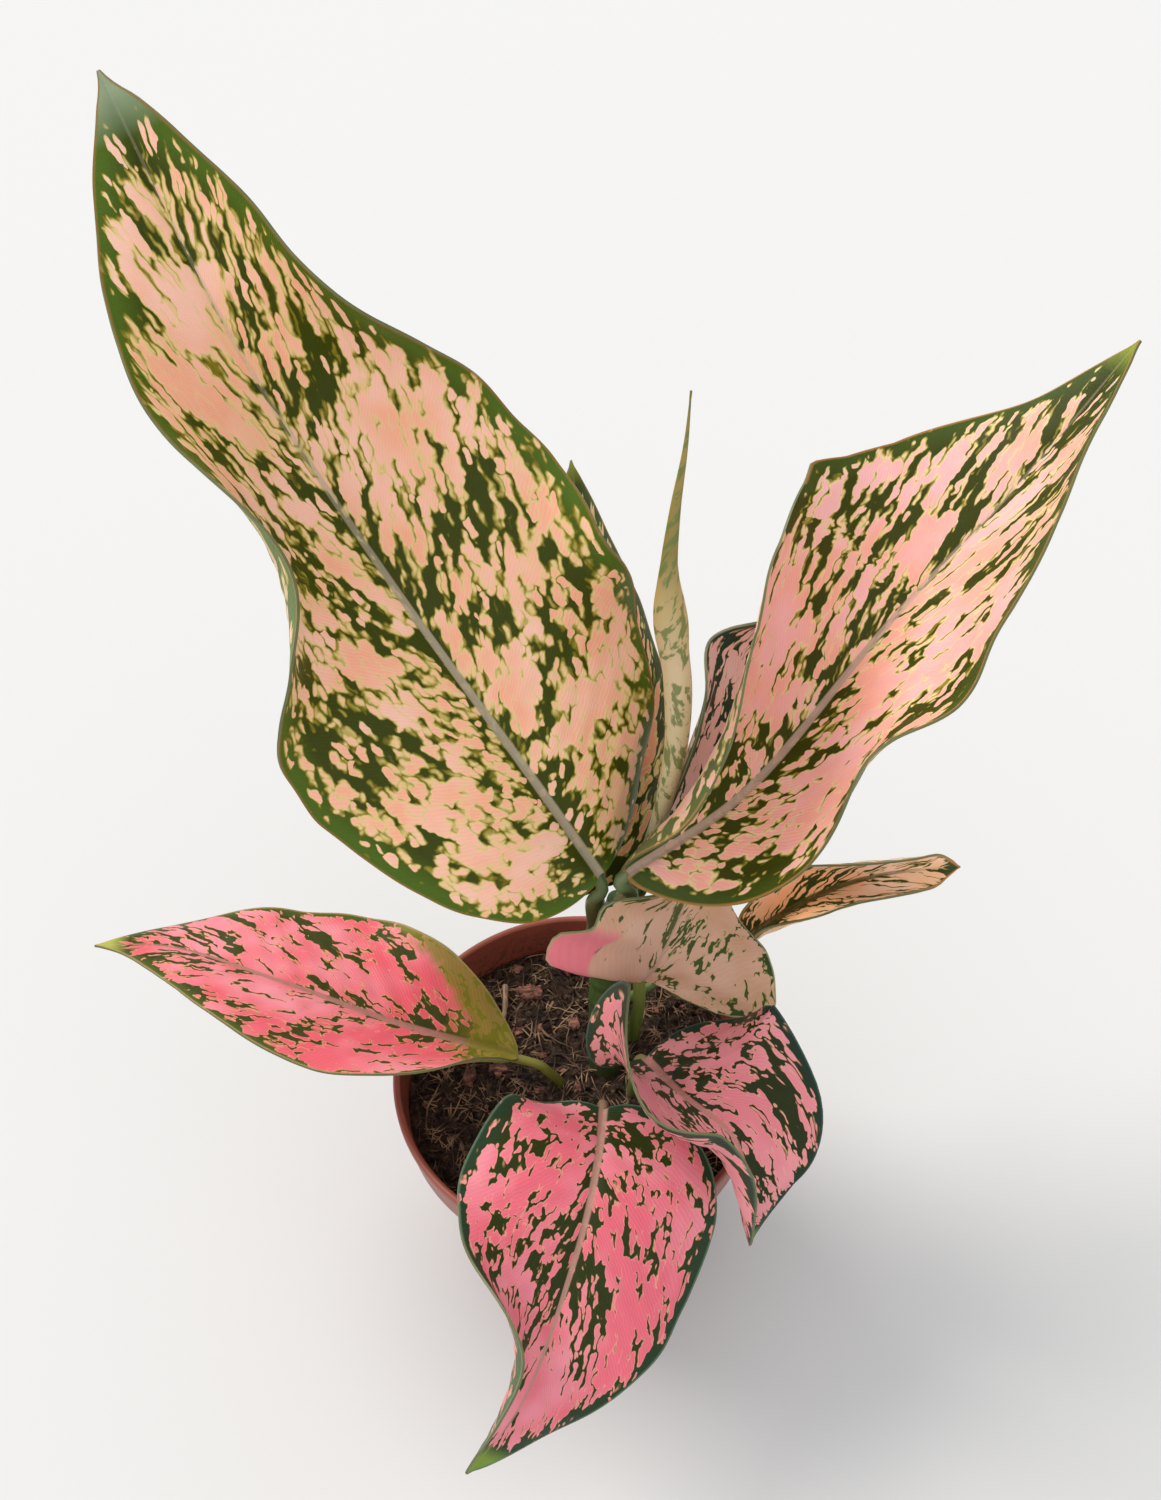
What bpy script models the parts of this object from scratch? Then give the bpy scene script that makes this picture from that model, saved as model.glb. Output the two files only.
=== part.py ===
"""Potted aglaonema: a pink and green leafy plant in a small terracotta-coloured plastic nursery pot.

Lengths are written in millimetres and turned into metres where meshes are made. The origin is the
centre of the pot's underside, +Z is up, +Y points away from the front and +X to the right.
Left and right of a leaf are as seen on its upper face with the tip pointing up.
"""

import math
import random

import bmesh
import bpy
import numpy as np
from mathutils import Vector, noise
from mathutils.bvhtree import BVHTree

MM = 0.001
GAP = 0.3

# Pot
POT_HEIGHT = 78.0
RIM_RADIUS = 45.0
RIM_THICK = 1.7
COLLAR_HEIGHT = 13.0
COLLAR_FOOT_RADIUS = 43.6
BODY_TOP_RADIUS = 42.0
BASE_RADIUS = 30.0
WALL = 1.5
FLOOR_THICK = 2.0
DRAIN_HOLES = 6
DRAIN_RADIUS = 3.0
DRAIN_CIRCLE = 20.0
POT_STEPS = 56

# Soil
SOIL_TOP = 67.5
SOIL_RELIEF = 1.5
SOIL_STEPS = 48

# Leaves: thickness of the blade and half width of the rib under the midrib
BLADE_THICK = 0.8
RIB_HALF_WIDTH = 1.5
ACROSS = (-1.0, -0.78, -0.55, -0.32, -0.1, 0.0, 0.1, 0.32, 0.55, 0.78, 1.0)
STATIONS = (0.008, 0.03, 0.065, 0.11, 0.165, 0.225, 0.285, 0.345, 0.405, 0.465,
            0.53, 0.595, 0.665, 0.735, 0.805, 0.87, 0.93, 0.98)

# on_stem: where the stalk lies against the main stem, as height and direction in degrees,
# stalk: points from there, or from its foot in the soil, to the blade,
# midrib: points from the blade's base to its tip,
# face: the way the upper face looks at the base, twist: turn of the face from base to tip in degrees,
# widest: where the blade is widest, as a share of its length, taper: above 1 draws the tip out,
# lobe: how far the base reaches back past the stalk, left and right: degrees that each half is
# raised at even steps from base to tip, channel: the same close beside the midrib.
LEAVES = {
    "leaf_upper_left": {
        "on_stem": [(102, 190), (114, 205)], "stalk": [(4.6, 10.0, 130)],
        "midrib": [(7, 9, 140), (-8, 12, 172), (-32, 25, 212), (-53, 34, 256), (-70, 50, 298)],
        "face": (0.45, -0.7, 0.5), "twist": -12, "channel": 15,
        "half_width": 39.5, "widest": 0.38, "taper": 1.07, "lobe": 4,
        "left": (5, 1, -6, 13, 43, 61, 35, 14, 0),
        "right": (-14, -2, 2, 32, 16, 19, 47, 35, 11),
    },
    "leaf_upper_right": {
        "on_stem": [(104, -25), (114, -45)], "stalk": [(13.5, 11.7, 130)],
        "midrib": [(12, 8, 142), (38, 15, 161), (66, 32, 191), (91, 46, 215), (113, 60, 238)],
        "face": (-0.27, -0.9, 0.5), "twist": -51, "channel": 15,
        "half_width": 32, "widest": 0.44, "taper": 1.2, "lobe": 4,
        "left": (68, 83, 81, 74, 58, 35, 20, 0, 10),
        "right": (8, 26, 42, 56, 35, 33, 34, 29, 16),
    },
    "leaf_back_left": {
        "on_stem": [(98, 115), (109, 115)], "stalk": [(6.0, 20.6, 119)],
        "midrib": [(7, 15, 128), (7, 27, 151), (6, 42, 180), (3, 58, 215)],
        "face": (0.37, -0.77, 0.4), "twist": 19, "channel": 5,
        "half_width": 23, "widest": 0.33, "taper": 1.05, "lobe": 4,
        "left": (8, 6, 8, 6, 0, -6, -8, -6),
        "right": (-20, -14, -8, -10, -11, -16, -14, -10),
    },
    "leaf_back_right": {
        "on_stem": [(98, 50), (109, 50)], "stalk": [(16.6, 20.0, 122)],
        "midrib": [(20, 18, 134), (37, 34, 153), (50, 48, 164), (67, 65, 177)],
        "face": (-0.1, -0.76, 0.6), "twist": 0, "channel": 12,
        "half_width": 22, "widest": 0.48, "taper": 1.25, "lobe": 1,
        "left": (55, 67, 66, 56, 30, 54, 62, 60),
        "right": (11, 36, 52, 57, 60, 60, 58, 28),
    },
    "leaf_right": {
        "on_stem": [(80, 60)], "stalk": [(16, 19.5, 79), (30, 26.5, 80.8)],
        "midrib": [(41.9, 30.4, 84.4), (60.9, 32.2, 100.7), (77, 31, 110), (97, 37, 104)],
        "face": (0.04, -0.28, 0.98), "twist": 23, "channel": 30,
        "half_width": 12, "widest": 0.4, "taper": 1.13, "lobe": 0,
        "left": (45, 55, 56, 55, 67, 72, 50, 18),
        "right": (40, 70, 71, 65, 63, 52, 41, 22),
    },
    "leaf_mid_right": {
        "stalk": [(13.6, 13.6, 46), (14.2, 13.4, 66), (15.4, 12.4, 82)],
        "midrib": [(16.6, 9.8, 97.7), (20.3, 12, 103), (27, 21.5, 112), (30.6, 29.6, 115),
                   (35.3, 34.6, 118)],
        "face": (0.7, -0.19, 0.61), "twist": 21, "channel": 5,
        "half_width": 35, "widest": 0.26, "taper": 1.03, "lobe": 2.4,
        "left": (-11, -15, -2, -5, 14, 22, 22, 22),
        "right": (27, 34, 29, 28, 31, 31, 26, 19),
    },
    "leaf_low_right": {
        "stalk": [(12.5, -3.0, 46), (13.2, -2.6, 66), (14.6, -2.0, 78)],
        "midrib": [(16, -5, 89), (23.5, -22, 101), (34, -33, 101), (37, -44, 93), (38, -47, 79)],
        "face": (-0.12, 0.14, 1.0), "twist": -13, "channel": 12,
        "half_width": 29, "widest": 0.36, "taper": 1.43, "lobe": 2.6,
        "left": (17, 10, 19, 24, 16, 9, 7, 6),
        "right": (9, 66, 80, 41, 50, 57, 43, 28),
    },
    "leaf_front": {
        "stalk": [(5.0, -8.5, 46), (5.2, -8.5, 62), (5.6, -9.5, 73)],
        "midrib": [(6, -14, 82), (4, -34, 92), (-1, -52.5, 88), (-12, -79, 81), (-25, -91, 70)],
        "face": (0.09, 0.31, 1.0), "twist": -52, "channel": 8,
        "half_width": 29.5, "widest": 0.39, "taper": 1.25, "lobe": 6,
        "left": (-1, 5, 0, -8, -1, 4, -6, 13),
        "right": (-1, 16, 2, 4, 14, 51, 44, 24),
    },
    "leaf_left": {
        "stalk": [(-3.0, 1.0, 46), (-3.6, 0.9, 64), (-7, 0.8, 73)],
        "midrib": [(-14, 1, 81), (-41, 2, 95), (-68, 7, 107), (-93, 14, 112), (-112, 14, 114)],
        "face": (0.35, -0.17, 1.06), "twist": 20, "channel": 15,
        "half_width": 23.5, "widest": 0.42, "taper": 1.2, "lobe": 1.5,
        "left": (48, 52, 30, 16, 11, 10, 2, 14),
        "right": (1, 29, 30, 9, 3, 4, -10, 2),
    },
}
STALK_RADIUS = {
    "leaf_upper_left": (1.7, 1.4), "leaf_upper_right": (1.7, 1.4), "leaf_back_left": (1.6, 1.4),
    "leaf_back_right": (1.6, 1.3), "leaf_right": (1.3, 1.1), "leaf_mid_right": (1.7, 1.5),
    "leaf_low_right": (1.6, 1.4), "leaf_front": (1.6, 1.4), "leaf_left": (1.6, 1.5),
}
IN_SOIL = ("leaf_mid_right", "leaf_low_right", "leaf_front", "leaf_left")

# Main stem and the rolled new leaf: points with a radius each
STEM = [(7.0, 5.0, 44, 4.4), (7.0, 6.0, 66, 4.4), (7.1, 10.6, 80, 4.2), (7.6, 14.6, 95, 4.0),
        (9.2, 16.4, 111, 3.4), (10.8, 16.6, 122, 2.9)]
SPEAR = [(11.4, 16.2, 122.7, 2.2), (15.0, 16.4, 132, 2.0), (18.4, 16.5, 145, 2.1),
         (20.6, 15.5, 160, 2.3), (22.2, 15.0, 176, 2.8), (22.0, 15.0, 192, 3.2),
         (20.4, 15.0, 206, 3.0), (19.6, 15.0, 220, 2.5), (20.4, 15.0, 234, 1.6),
         (21.8, 15.0, 247, 0.8), (22.4, 15.0, 258, 0.3)]

# Bark chips on the soil: place, turn in degrees, length, width and height
CHIPS = [(-12, 27, 20, 7.5, 5.0, 2.6), (-27, 3, 70, 5.5, 4.2, 2.4), (-20, 5, 30, 6.0, 3.6, 2.2),
         (-30, 14, 110, 5.0, 3.8, 2.0), (-16, -9, 150, 6.5, 4.5, 2.4), (29, 3, 40, 6.0, 4.0, 2.2),
         (-23, -22, 10, 7.0, 4.4, 2.6), (-2, 35, 80, 6.2, 4.0, 2.2), (20, -28, 60, 6.0, 4.2, 2.4)]
TWIG = [(-19.0, 29.5, 0.9), (-18.4, 23.0, 0.8), (-18.8, 16.0, 0.6)]


def clear_scene():
    for thing in list(bpy.data.objects):
        bpy.data.objects.remove(thing, do_unlink=True)


def new_collection(name):
    made = bpy.data.collections.new(name)
    bpy.context.scene.collection.children.link(made)
    return made


def linear(colour):
    """A colour written as sRGB hex, as the linear values a shader takes."""
    parts = [int(colour[i:i + 2], 16) / 255 for i in (1, 3, 5)]
    return [p / 12.92 if p <= 0.04045 else ((p + 0.055) / 1.055) ** 2.4 for p in parts] + [1.0]


def material(name, colour, roughness):
    made = bpy.data.materials.new(name)
    made.use_nodes = True
    shader = made.node_tree.nodes["Principled BSDF"]
    shader.inputs["Base Color"].default_value = linear(colour)
    shader.inputs["Roughness"].default_value = roughness
    made.diffuse_color = linear(colour)
    return made


def move_to(thing, collection):
    for home in list(thing.users_collection):
        home.objects.unlink(thing)
    collection.objects.link(thing)


def mesh_object(name, points, faces, collection):
    """A mesh object from points in millimetres, with all its faces turned outwards."""
    mesh = bpy.data.meshes.new(name)
    mesh.from_pydata([tuple(float(c) * MM for c in p) for p in points], [], faces)
    shape = bmesh.new()
    shape.from_mesh(mesh)
    bmesh.ops.recalc_face_normals(shape, faces=shape.faces)
    shape.to_mesh(mesh)
    shape.free()
    made = bpy.data.objects.new(name, mesh)
    collection.objects.link(made)
    return made


def spline(points, u):
    """A smooth curve through evenly spaced points, at each u from 0 to 1."""
    p = np.asarray(points, float)
    p = p[:, None] if p.ndim == 1 else p
    last = len(p) - 1
    p = np.vstack([2 * p[0] - p[1], p, 2 * p[-1] - p[-2]])
    x = np.clip(np.asarray(u, float), 0, 1) * last
    i = np.minimum(x.astype(int), last - 1)
    f = (x - i)[..., None]
    a, b, c, d = p[i], p[i + 1], p[i + 2], p[i + 3]
    return 0.5 * (2 * b + (c - a) * f + (2 * a - 5 * b + 4 * c - d) * f ** 2
                  + (3 * b - a - 3 * c + d) * f ** 3)


def carried_frames(path, normal):
    """Tangent, side and normal along a path, with the normal carried on without turning."""
    tangent = np.gradient(path, axis=0)
    tangent /= np.linalg.norm(tangent, axis=1)[:, None]
    normals = []
    for t in tangent:
        normal = normal - (normal @ t) * t
        normal = normal / np.linalg.norm(normal)
        normals.append(normal)
    normals = np.array(normals)
    return tangent, np.cross(tangent, normals), normals


def midrib_frames(leaf, steps=80):
    """Distance, point, tangent, side and normal along a leaf's midrib, twist included."""
    path = spline(leaf["midrib"], np.linspace(0, 1, steps + 1))
    tangent, side, normal = carried_frames(path, np.array(leaf["face"], float))
    far = np.concatenate([[0], np.cumsum(np.linalg.norm(np.diff(path, axis=0), axis=1))])
    turn = np.radians(leaf["twist"]) * (far / far[-1])[:, None]
    return (far, path, tangent, side * np.cos(turn) - normal * np.sin(turn),
            normal * np.cos(turn) + side * np.sin(turn))


def half_width(leaf, s):
    rise = leaf["taper"] * leaf["widest"] / (1 - leaf["widest"])
    return (leaf["half_width"] * (s / leaf["widest"]) ** rise
            * ((1 - s) / (1 - leaf["widest"])) ** leaf["taper"])


def blade_points(leaf, s, t):
    """Points of the blade's upper face: s runs from base to tip, t from left (-1) to right (1)."""
    far, path, tangent, side, normal = midrib_frames(leaf)
    reach = np.abs(t)
    width = half_width(leaf, s)
    back = leaf["lobe"] * (s / 0.07) * np.exp(1 - s / 0.07) * reach ** 2
    y = far[-1] * s - back
    inside = np.clip(y, 0, far[-1])

    def at(values):
        return np.stack([np.interp(inside, far, values[:, k]) for k in range(3)], -1)

    share = inside / far[-1]
    raised = np.where(t < 0, spline(leaf["left"], share)[..., 0],
                      spline(leaf["right"], share)[..., 0])
    angle = np.radians(leaf["channel"] + (raised - leaf["channel"]) * reach)
    out = np.sign(t) * width * reach * np.cos(angle)
    up = width * reach * np.sin(angle)
    return (at(path) + at(tangent) * (y - inside)[..., None]
            + at(side) * out[..., None] + at(normal) * up[..., None])


def sheet_normals(grid):
    """Unit normals of a grid of points, on the side of the upper face."""
    along = np.gradient(grid, axis=0)
    over = np.gradient(grid, axis=1)
    normal = np.cross(over, along)
    return normal / np.linalg.norm(normal, axis=2)[..., None]


def stem_at(height):
    """Centre and radius of the main stem at a height."""
    path = spline(STEM, np.linspace(0, 1, 61))
    return [float(np.interp(height, path[:, 2], path[:, k])) for k in (0, 1, 3)]


def stalk_points(leaf, radius):
    """Points from the stalk's foot to the base of the blade."""
    points = []
    for height, way in leaf.get("on_stem", []):
        x, y, stem_radius = stem_at(height)
        reach = stem_radius + GAP + radius
        points.append((x + reach * math.cos(math.radians(way)),
                       y + reach * math.sin(math.radians(way)), height))
    return points + list(leaf["stalk"]) + [leaf["midrib"][0]]


def stalk_path(leaf, radius, steps_each=2):
    points = stalk_points(leaf, radius)
    steps = steps_each * (len(points) - 1)
    return spline(points + [leaf["midrib"][1]],
                  np.linspace(0, (len(points) - 1) / len(points), steps + 1))


def stalk_rings(leaf, radii):
    """Round rings from the stalk's foot to the base of the blade."""
    path = stalk_path(leaf, radii[0])
    steps = len(path) - 1
    tangent, side, normal = carried_frames(path[::-1], np.array(leaf["face"], float))
    tangent, side, normal = -tangent[::-1], -side[::-1], normal[::-1]
    side = np.cross(tangent, normal)
    count = len(ACROSS)
    top = np.linspace(172, 8, count)
    angles = np.radians(np.concatenate([top, -top[::-1]]))
    rings = []
    for i in range(steps + 1):
        radius = radii[0] + (radii[1] - radii[0]) * i / steps
        rings.append(path[i] + radius * (np.cos(angles)[:, None] * side[i]
                                         + np.sin(angles)[:, None] * normal[i]))
    return rings


def blade_rings(leaf, foot_radius):
    """Rings round the blade: the upper row left to right, then the lower row back again."""
    s = np.array(STATIONS)[:, None] * np.ones(len(ACROSS))
    rib = np.minimum(RIB_HALF_WIDTH / half_width(leaf, s[:, :1]), 0.3)
    t = np.array(ACROSS)[None, :] * np.ones_like(s)
    inner = np.isclose(np.abs(t), 0.1)
    t = np.where(inner, np.sign(t) * rib, t)
    grid = blade_points(leaf, s, t)
    normal = sheet_normals(grid)
    thick = np.full(s.shape, BLADE_THICK)
    middle = ACROSS.index(0.0)
    thick[:, middle] += (2 * foot_radius - BLADE_THICK) * (1 - s[:, middle]) ** 2 * 0.8
    under = grid - normal * thick[..., None]
    return [np.vstack([grid[i], under[i][::-1]]) for i in range(len(STATIONS))]


def loft(name, rings, collection):
    """One closed body through rings with as many points each, split alike on both faces."""
    count = len(rings[0])
    half = count // 2
    faces = []
    for i in range(len(rings) - 1):
        for k in range(count):
            a, b = i * count + k, i * count + (k + 1) % count
            c, d = b + count, a + count
            if k < half:
                faces += [(a, b, c), (a, c, d)]
            else:
                faces += [(a, b, d), (b, c, d)]
    for start in (0, (len(rings) - 1) * count):
        for k in range(half - 1):
            a, b = start + k, start + k + 1
            c, d = start + count - 2 - k, start + count - 1 - k
            faces += [(a, b, c), (a, c, d)] if start else [(c, b, a), (d, c, a)]
    return mesh_object(name, np.vstack(rings), faces, collection)


def rod(name, path, collection, resolution=2):
    """A round rod through points with a radius each, with filled ends."""
    curve = bpy.data.curves.new(name, "CURVE")
    curve.dimensions = "3D"
    curve.bevel_depth = MM
    curve.bevel_resolution = resolution
    curve.use_fill_caps = True
    line = curve.splines.new("POLY")
    line.points.add(len(path) - 1)
    for point, (x, y, z, radius) in zip(line.points, path):
        point.co = (x * MM, y * MM, z * MM, 1.0)
        point.radius = radius
    made = bpy.data.objects.new(name, curve)
    collection.objects.link(made)
    return made


def smooth(points):
    return spline(points, np.linspace(0, 1, 3 * (len(points) - 1) + 1))


def as_mesh(thing):
    bpy.ops.object.select_all(action="DESELECT")
    bpy.context.view_layer.objects.active = thing
    thing.select_set(True)
    bpy.ops.object.convert(target="MESH")
    return thing


def turned(name, profile, steps, collection):
    """A profile of (radius, height) pairs, top to bottom outside, turned round the Z axis."""
    mesh = bpy.data.meshes.new(name)
    mesh.from_pydata([(r * MM, 0, z * MM) for r, z in profile], [],
                     [(i, i + 1) for i in range(len(profile) - 1)])
    made = bpy.data.objects.new(name, mesh)
    collection.objects.link(made)
    screw = made.modifiers.new("turn", "SCREW")
    screw.steps = steps
    screw.render_steps = steps
    screw.use_merge_vertices = True
    screw.merge_threshold = 0.00001
    screw.use_normal_calculate = True
    return made


def cut(thing, cutter):
    cutter.hide_render = True
    cutter.display_type = "WIRE"
    boolean = thing.modifiers.new("cut " + cutter.name, "BOOLEAN")
    boolean.operation = "DIFFERENCE"
    boolean.solver = "EXACT"
    boolean.object = cutter


def inner_radius(z):
    """Radius of the pot's inner wall at a height."""
    ledge = POT_HEIGHT - COLLAR_HEIGHT
    if z >= ledge:
        share = (z - ledge) / COLLAR_HEIGHT
        return COLLAR_FOOT_RADIUS - WALL + share * (RIM_RADIUS - RIM_THICK
                                                    - COLLAR_FOOT_RADIUS + WALL)
    return BASE_RADIUS - WALL + (BODY_TOP_RADIUS - BASE_RADIUS) * z / ledge


def build_pot(collection, cutters):
    ledge = POT_HEIGHT - COLLAR_HEIGHT
    top = RIM_RADIUS
    profile = [
        (top - 0.5, POT_HEIGHT), (top, POT_HEIGHT - 0.5), (top, POT_HEIGHT - 2.2),
        (top - 0.5, POT_HEIGHT - 2.9), (COLLAR_FOOT_RADIUS, ledge + 0.8),
        (COLLAR_FOOT_RADIUS - 0.5, ledge), (BODY_TOP_RADIUS, ledge - 0.3),
        (BASE_RADIUS + 0.4, 1.6), (BASE_RADIUS - 1.2, 0), (0, 0),
    ]
    inside = [
        (0, FLOOR_THICK), (inner_radius(FLOOR_THICK) - 1.0, FLOOR_THICK),
        (inner_radius(FLOOR_THICK + 1.0), FLOOR_THICK + 1.0),
        (inner_radius(ledge - 0.6), ledge - 0.6), (inner_radius(ledge + 0.6), ledge + 0.6),
        (inner_radius(POT_HEIGHT - 0.5), POT_HEIGHT - 0.5),
        (inner_radius(POT_HEIGHT) + 0.5, POT_HEIGHT), (top - 0.5, POT_HEIGHT),
    ]
    pot = turned("pot", profile + inside, POT_STEPS, collection)
    pot.data.materials.append(material("terracotta plastic", "#A5543A", 0.5))
    holes = []
    for i in range(DRAIN_HOLES):
        angle = 2 * math.pi * (i + 0.5) / DRAIN_HOLES
        bpy.ops.mesh.primitive_cylinder_add(
            vertices=20, radius=DRAIN_RADIUS * MM, depth=12 * MM,
            location=(DRAIN_CIRCLE * math.cos(angle) * MM, DRAIN_CIRCLE * math.sin(angle) * MM, 0))
        holes.append(bpy.context.object)
    bpy.ops.object.select_all(action="DESELECT")
    for hole in holes:
        hole.select_set(True)
    bpy.context.view_layer.objects.active = holes[0]
    bpy.ops.object.join()
    drain = bpy.context.object
    drain.name = "drain holes"
    move_to(drain, cutters)
    cut(pot, drain)


def soil_height(x, y):
    """Height of the bumpy top of the soil, a little lower beside the wall."""
    rough = noise.noise(Vector((x * 0.13, y * 0.13, 3.7))) * SOIL_RELIEF
    rough += noise.noise(Vector((x * 0.31, y * 0.31, 9.1))) * SOIL_RELIEF * 0.45
    edge = min(1.0, math.hypot(x, y) / 40) ** 4
    return SOIL_TOP + rough * (1 - 0.6 * edge) - 0.8 * edge


def build_soil(collection, cutters):
    low = FLOOR_THICK + GAP
    ledge = POT_HEIGHT - COLLAR_HEIGHT
    outer = [(inner_radius(SOIL_TOP - 1.0) - GAP, SOIL_TOP - 1.0),
             (inner_radius(ledge + 0.6) - GAP, ledge + 0.6 + GAP),
             (inner_radius(ledge - 0.6) - GAP, ledge - 0.6),
             (inner_radius(low + 1.2) - GAP, low + 1.2),
             (inner_radius(low) - 1.3, low), (0, low)]
    edge = outer[0][0]
    rings = [(0, SOIL_TOP)] + [(edge * k / 11, SOIL_TOP) for k in range(1, 11)]
    soil = turned("soil", rings + outer, SOIL_STEPS, collection)
    as_mesh(soil)
    for vertex in soil.data.vertices:
        x, y, z = (c / MM for c in vertex.co)
        if abs(z - SOIL_TOP) < 0.01:
            vertex.co.z = soil_height(x, y) * MM
    soil.data.materials.append(material("potting mix", "#3B2C22", 0.95))
    rods = {"stem": smooth(STEM)}
    for name in IN_SOIL:
        path = stalk_path(LEAVES[name], STALK_RADIUS[name][0])
        rods[name] = np.column_stack([path, np.full(len(path), STALK_RADIUS[name][0])])
    for name, path in rods.items():
        buried = np.array([p for p in path if p[2] < SOIL_TOP + 6], float)
        buried[:, 3] += GAP
        foot = buried[0].copy()
        foot[:3] -= (buried[1] - buried[0])[:3] / np.linalg.norm((buried[1] - buried[0])[:3]) * GAP
        end = buried[-1].copy()
        end[:3] += (path[len(buried)] - path[len(buried) - 1])[:3]
        hole = rod("hole of " + name, np.vstack([foot, buried[1:], end]), cutters)
        cut(soil, as_mesh(hole))
    return soil


def build_leaf(name, collection):
    leaf = LEAVES[name]
    radii = STALK_RADIUS[name]
    rings = stalk_rings(leaf, radii) + blade_rings(leaf, radii[1])
    made = loft(name, rings, collection)
    warm = name in ("leaf_low_right", "leaf_front", "leaf_left")
    made.data.materials.append(material(name, "#E0718A" if warm else "#E3A392", 0.45))


def surface_tree(thing):
    """The finished surface of an object, for looking down onto it."""
    return BVHTree.FromObject(thing, bpy.context.evaluated_depsgraph_get())


def highest(tree, places):
    """The highest point of a surface under the given places, in millimetres."""
    tops = []
    for x, y in places:
        hit = tree.ray_cast(Vector((x * MM, y * MM, 0.2)), Vector((0, 0, -1)))[0]
        tops.append(hit.z / MM)
    return max(tops)


def build_chip(index, place, tree, collection):
    x, y, turn, length, width, height = place
    rng = random.Random(41 + index)
    c, s = math.cos(math.radians(turn)), math.sin(math.radians(turn))
    top = highest(tree, [(x + u * length * c - v * width * s, y + u * length * s + v * width * c)
                         for u in np.linspace(-0.45, 0.45, 15)
                         for v in np.linspace(-0.45, 0.45, 15)])
    bpy.ops.mesh.primitive_cube_add(size=1)
    chip = bpy.context.object
    chip.name = f"bark_chip_{index + 1}"
    chip.data.name = chip.name
    move_to(chip, collection)
    for vertex in chip.data.vertices:
        u, v, w = vertex.co
        u *= length * rng.uniform(0.7, 1.0)
        v *= width * rng.uniform(0.65, 1.0)
        w = (w + 0.5) * height * rng.uniform(0.7, 1.0)
        vertex.co = ((x + u * c - v * s) * MM, (y + u * s + v * c) * MM, (top + GAP + w) * MM)
    bevel = chip.modifiers.new("worn edges", "BEVEL")
    bevel.width = 0.45 * MM
    bevel.segments = 1
    bevel.limit_method = "NONE"
    triangles = chip.modifiers.new("triangles", "TRIANGULATE")
    triangles.quad_method = "FIXED"
    chip.data.materials.append(material(chip.name, "#6E4636", 0.85))


def build_twig(tree, collection):
    line = smooth(TWIG)
    top = highest(tree, [(x + d, y) for x, y, _ in line for d in np.linspace(-0.8, 0.8, 7)])
    path = [(x, y, top + GAP + TWIG[0][2], r) for x, y, r in line]
    twig = rod("twig", path, collection, 1)
    twig.data.materials.append(material("twig", "#8A6A50", 0.8))


def main():
    clear_scene()
    plant = new_collection("potted_aglaonema")
    cutters = new_collection("cutters")
    cutters.hide_render = True
    build_pot(plant, cutters)
    soil = build_soil(plant, cutters)
    stem = rod("stem", smooth(STEM), plant)
    stem.data.materials.append(material("stem green", "#3E5526", 0.4))
    spear = rod("leaf_spear", smooth(SPEAR), plant)
    spear.data.materials.append(material("new leaf", "#B9B795", 0.45))
    for name in LEAVES:
        build_leaf(name, plant)
    tree = surface_tree(soil)
    for index, place in enumerate(CHIPS):
        build_chip(index, place, tree, plant)
    build_twig(tree, plant)


main()
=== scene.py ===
"""Looks of the potted aglaonema: variegated leaves, stalks, pot and potting mix.

Places are written in millimetres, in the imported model's own frame, and turned to metres where
meshes are made. Left and right of a leaf are as seen on its upper face with the tip pointing up.
"""

import math
import random

import bpy
import numpy as np
from mathutils import Matrix, Vector, noise


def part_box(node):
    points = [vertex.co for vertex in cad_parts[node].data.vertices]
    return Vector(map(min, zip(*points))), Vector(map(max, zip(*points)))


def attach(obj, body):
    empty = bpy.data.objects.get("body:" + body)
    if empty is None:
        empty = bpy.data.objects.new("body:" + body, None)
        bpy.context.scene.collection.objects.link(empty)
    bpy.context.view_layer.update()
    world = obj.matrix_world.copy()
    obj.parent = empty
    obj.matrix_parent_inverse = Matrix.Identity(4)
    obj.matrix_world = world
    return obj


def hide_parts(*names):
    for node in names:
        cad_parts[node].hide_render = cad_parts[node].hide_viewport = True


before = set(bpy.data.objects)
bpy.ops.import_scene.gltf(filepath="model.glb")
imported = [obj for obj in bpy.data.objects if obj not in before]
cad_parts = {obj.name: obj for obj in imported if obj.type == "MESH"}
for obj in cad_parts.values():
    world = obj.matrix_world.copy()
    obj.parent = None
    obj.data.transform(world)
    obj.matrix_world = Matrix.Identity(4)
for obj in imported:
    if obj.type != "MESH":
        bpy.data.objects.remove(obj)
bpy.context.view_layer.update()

MM = 0.001

# Pot and soil, as in the model
POT_HEIGHT = 78.0
RIM_RADIUS = 45.0
RIM_THICK = 1.7
COLLAR_HEIGHT = 13.0
COLLAR_FOOT_RADIUS = 43.6
BODY_TOP_RADIUS = 42.0
BASE_RADIUS = 30.0
WALL = 1.5
FLOOR_THICK = 2.0
DRAIN_HOLES = 6
DRAIN_RADIUS = 3.0
DRAIN_CIRCLE = 20.0
SOIL_TOP = 67.5
SOIL_RELIEF = 1.5
SOIL_BOTTOM = 2.3
GAP = 0.3

# A real blade is thinner than the model's solid one
BLADE_THICK = 0.5
GROOVE_DEPTH = 0.55
GROOVE_HALF_WIDTH = 1.3
VEIN_SPACING = 6.5
VEIN_RELIEF = 0.16
STEP_ACROSS = 0.95
STEP_ALONG = 1.15
TIP_END = 0.99
EDGE_WOBBLE = 0.9
EDGE_RUFFLE = 1.3

# Corners in a leaf's edge, for the left (-1) or right (1) half: share of length, width multiplier
EDGE_CORNERS = {
    "leaf_upper_right": {-1: ((0.4, 0.97), (0.47, 1.12), (0.515, 1.06), (0.585, 1.13),
                              (0.607, 1.2), (0.64, 1.08), (0.7, 1.0))},
}

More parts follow.
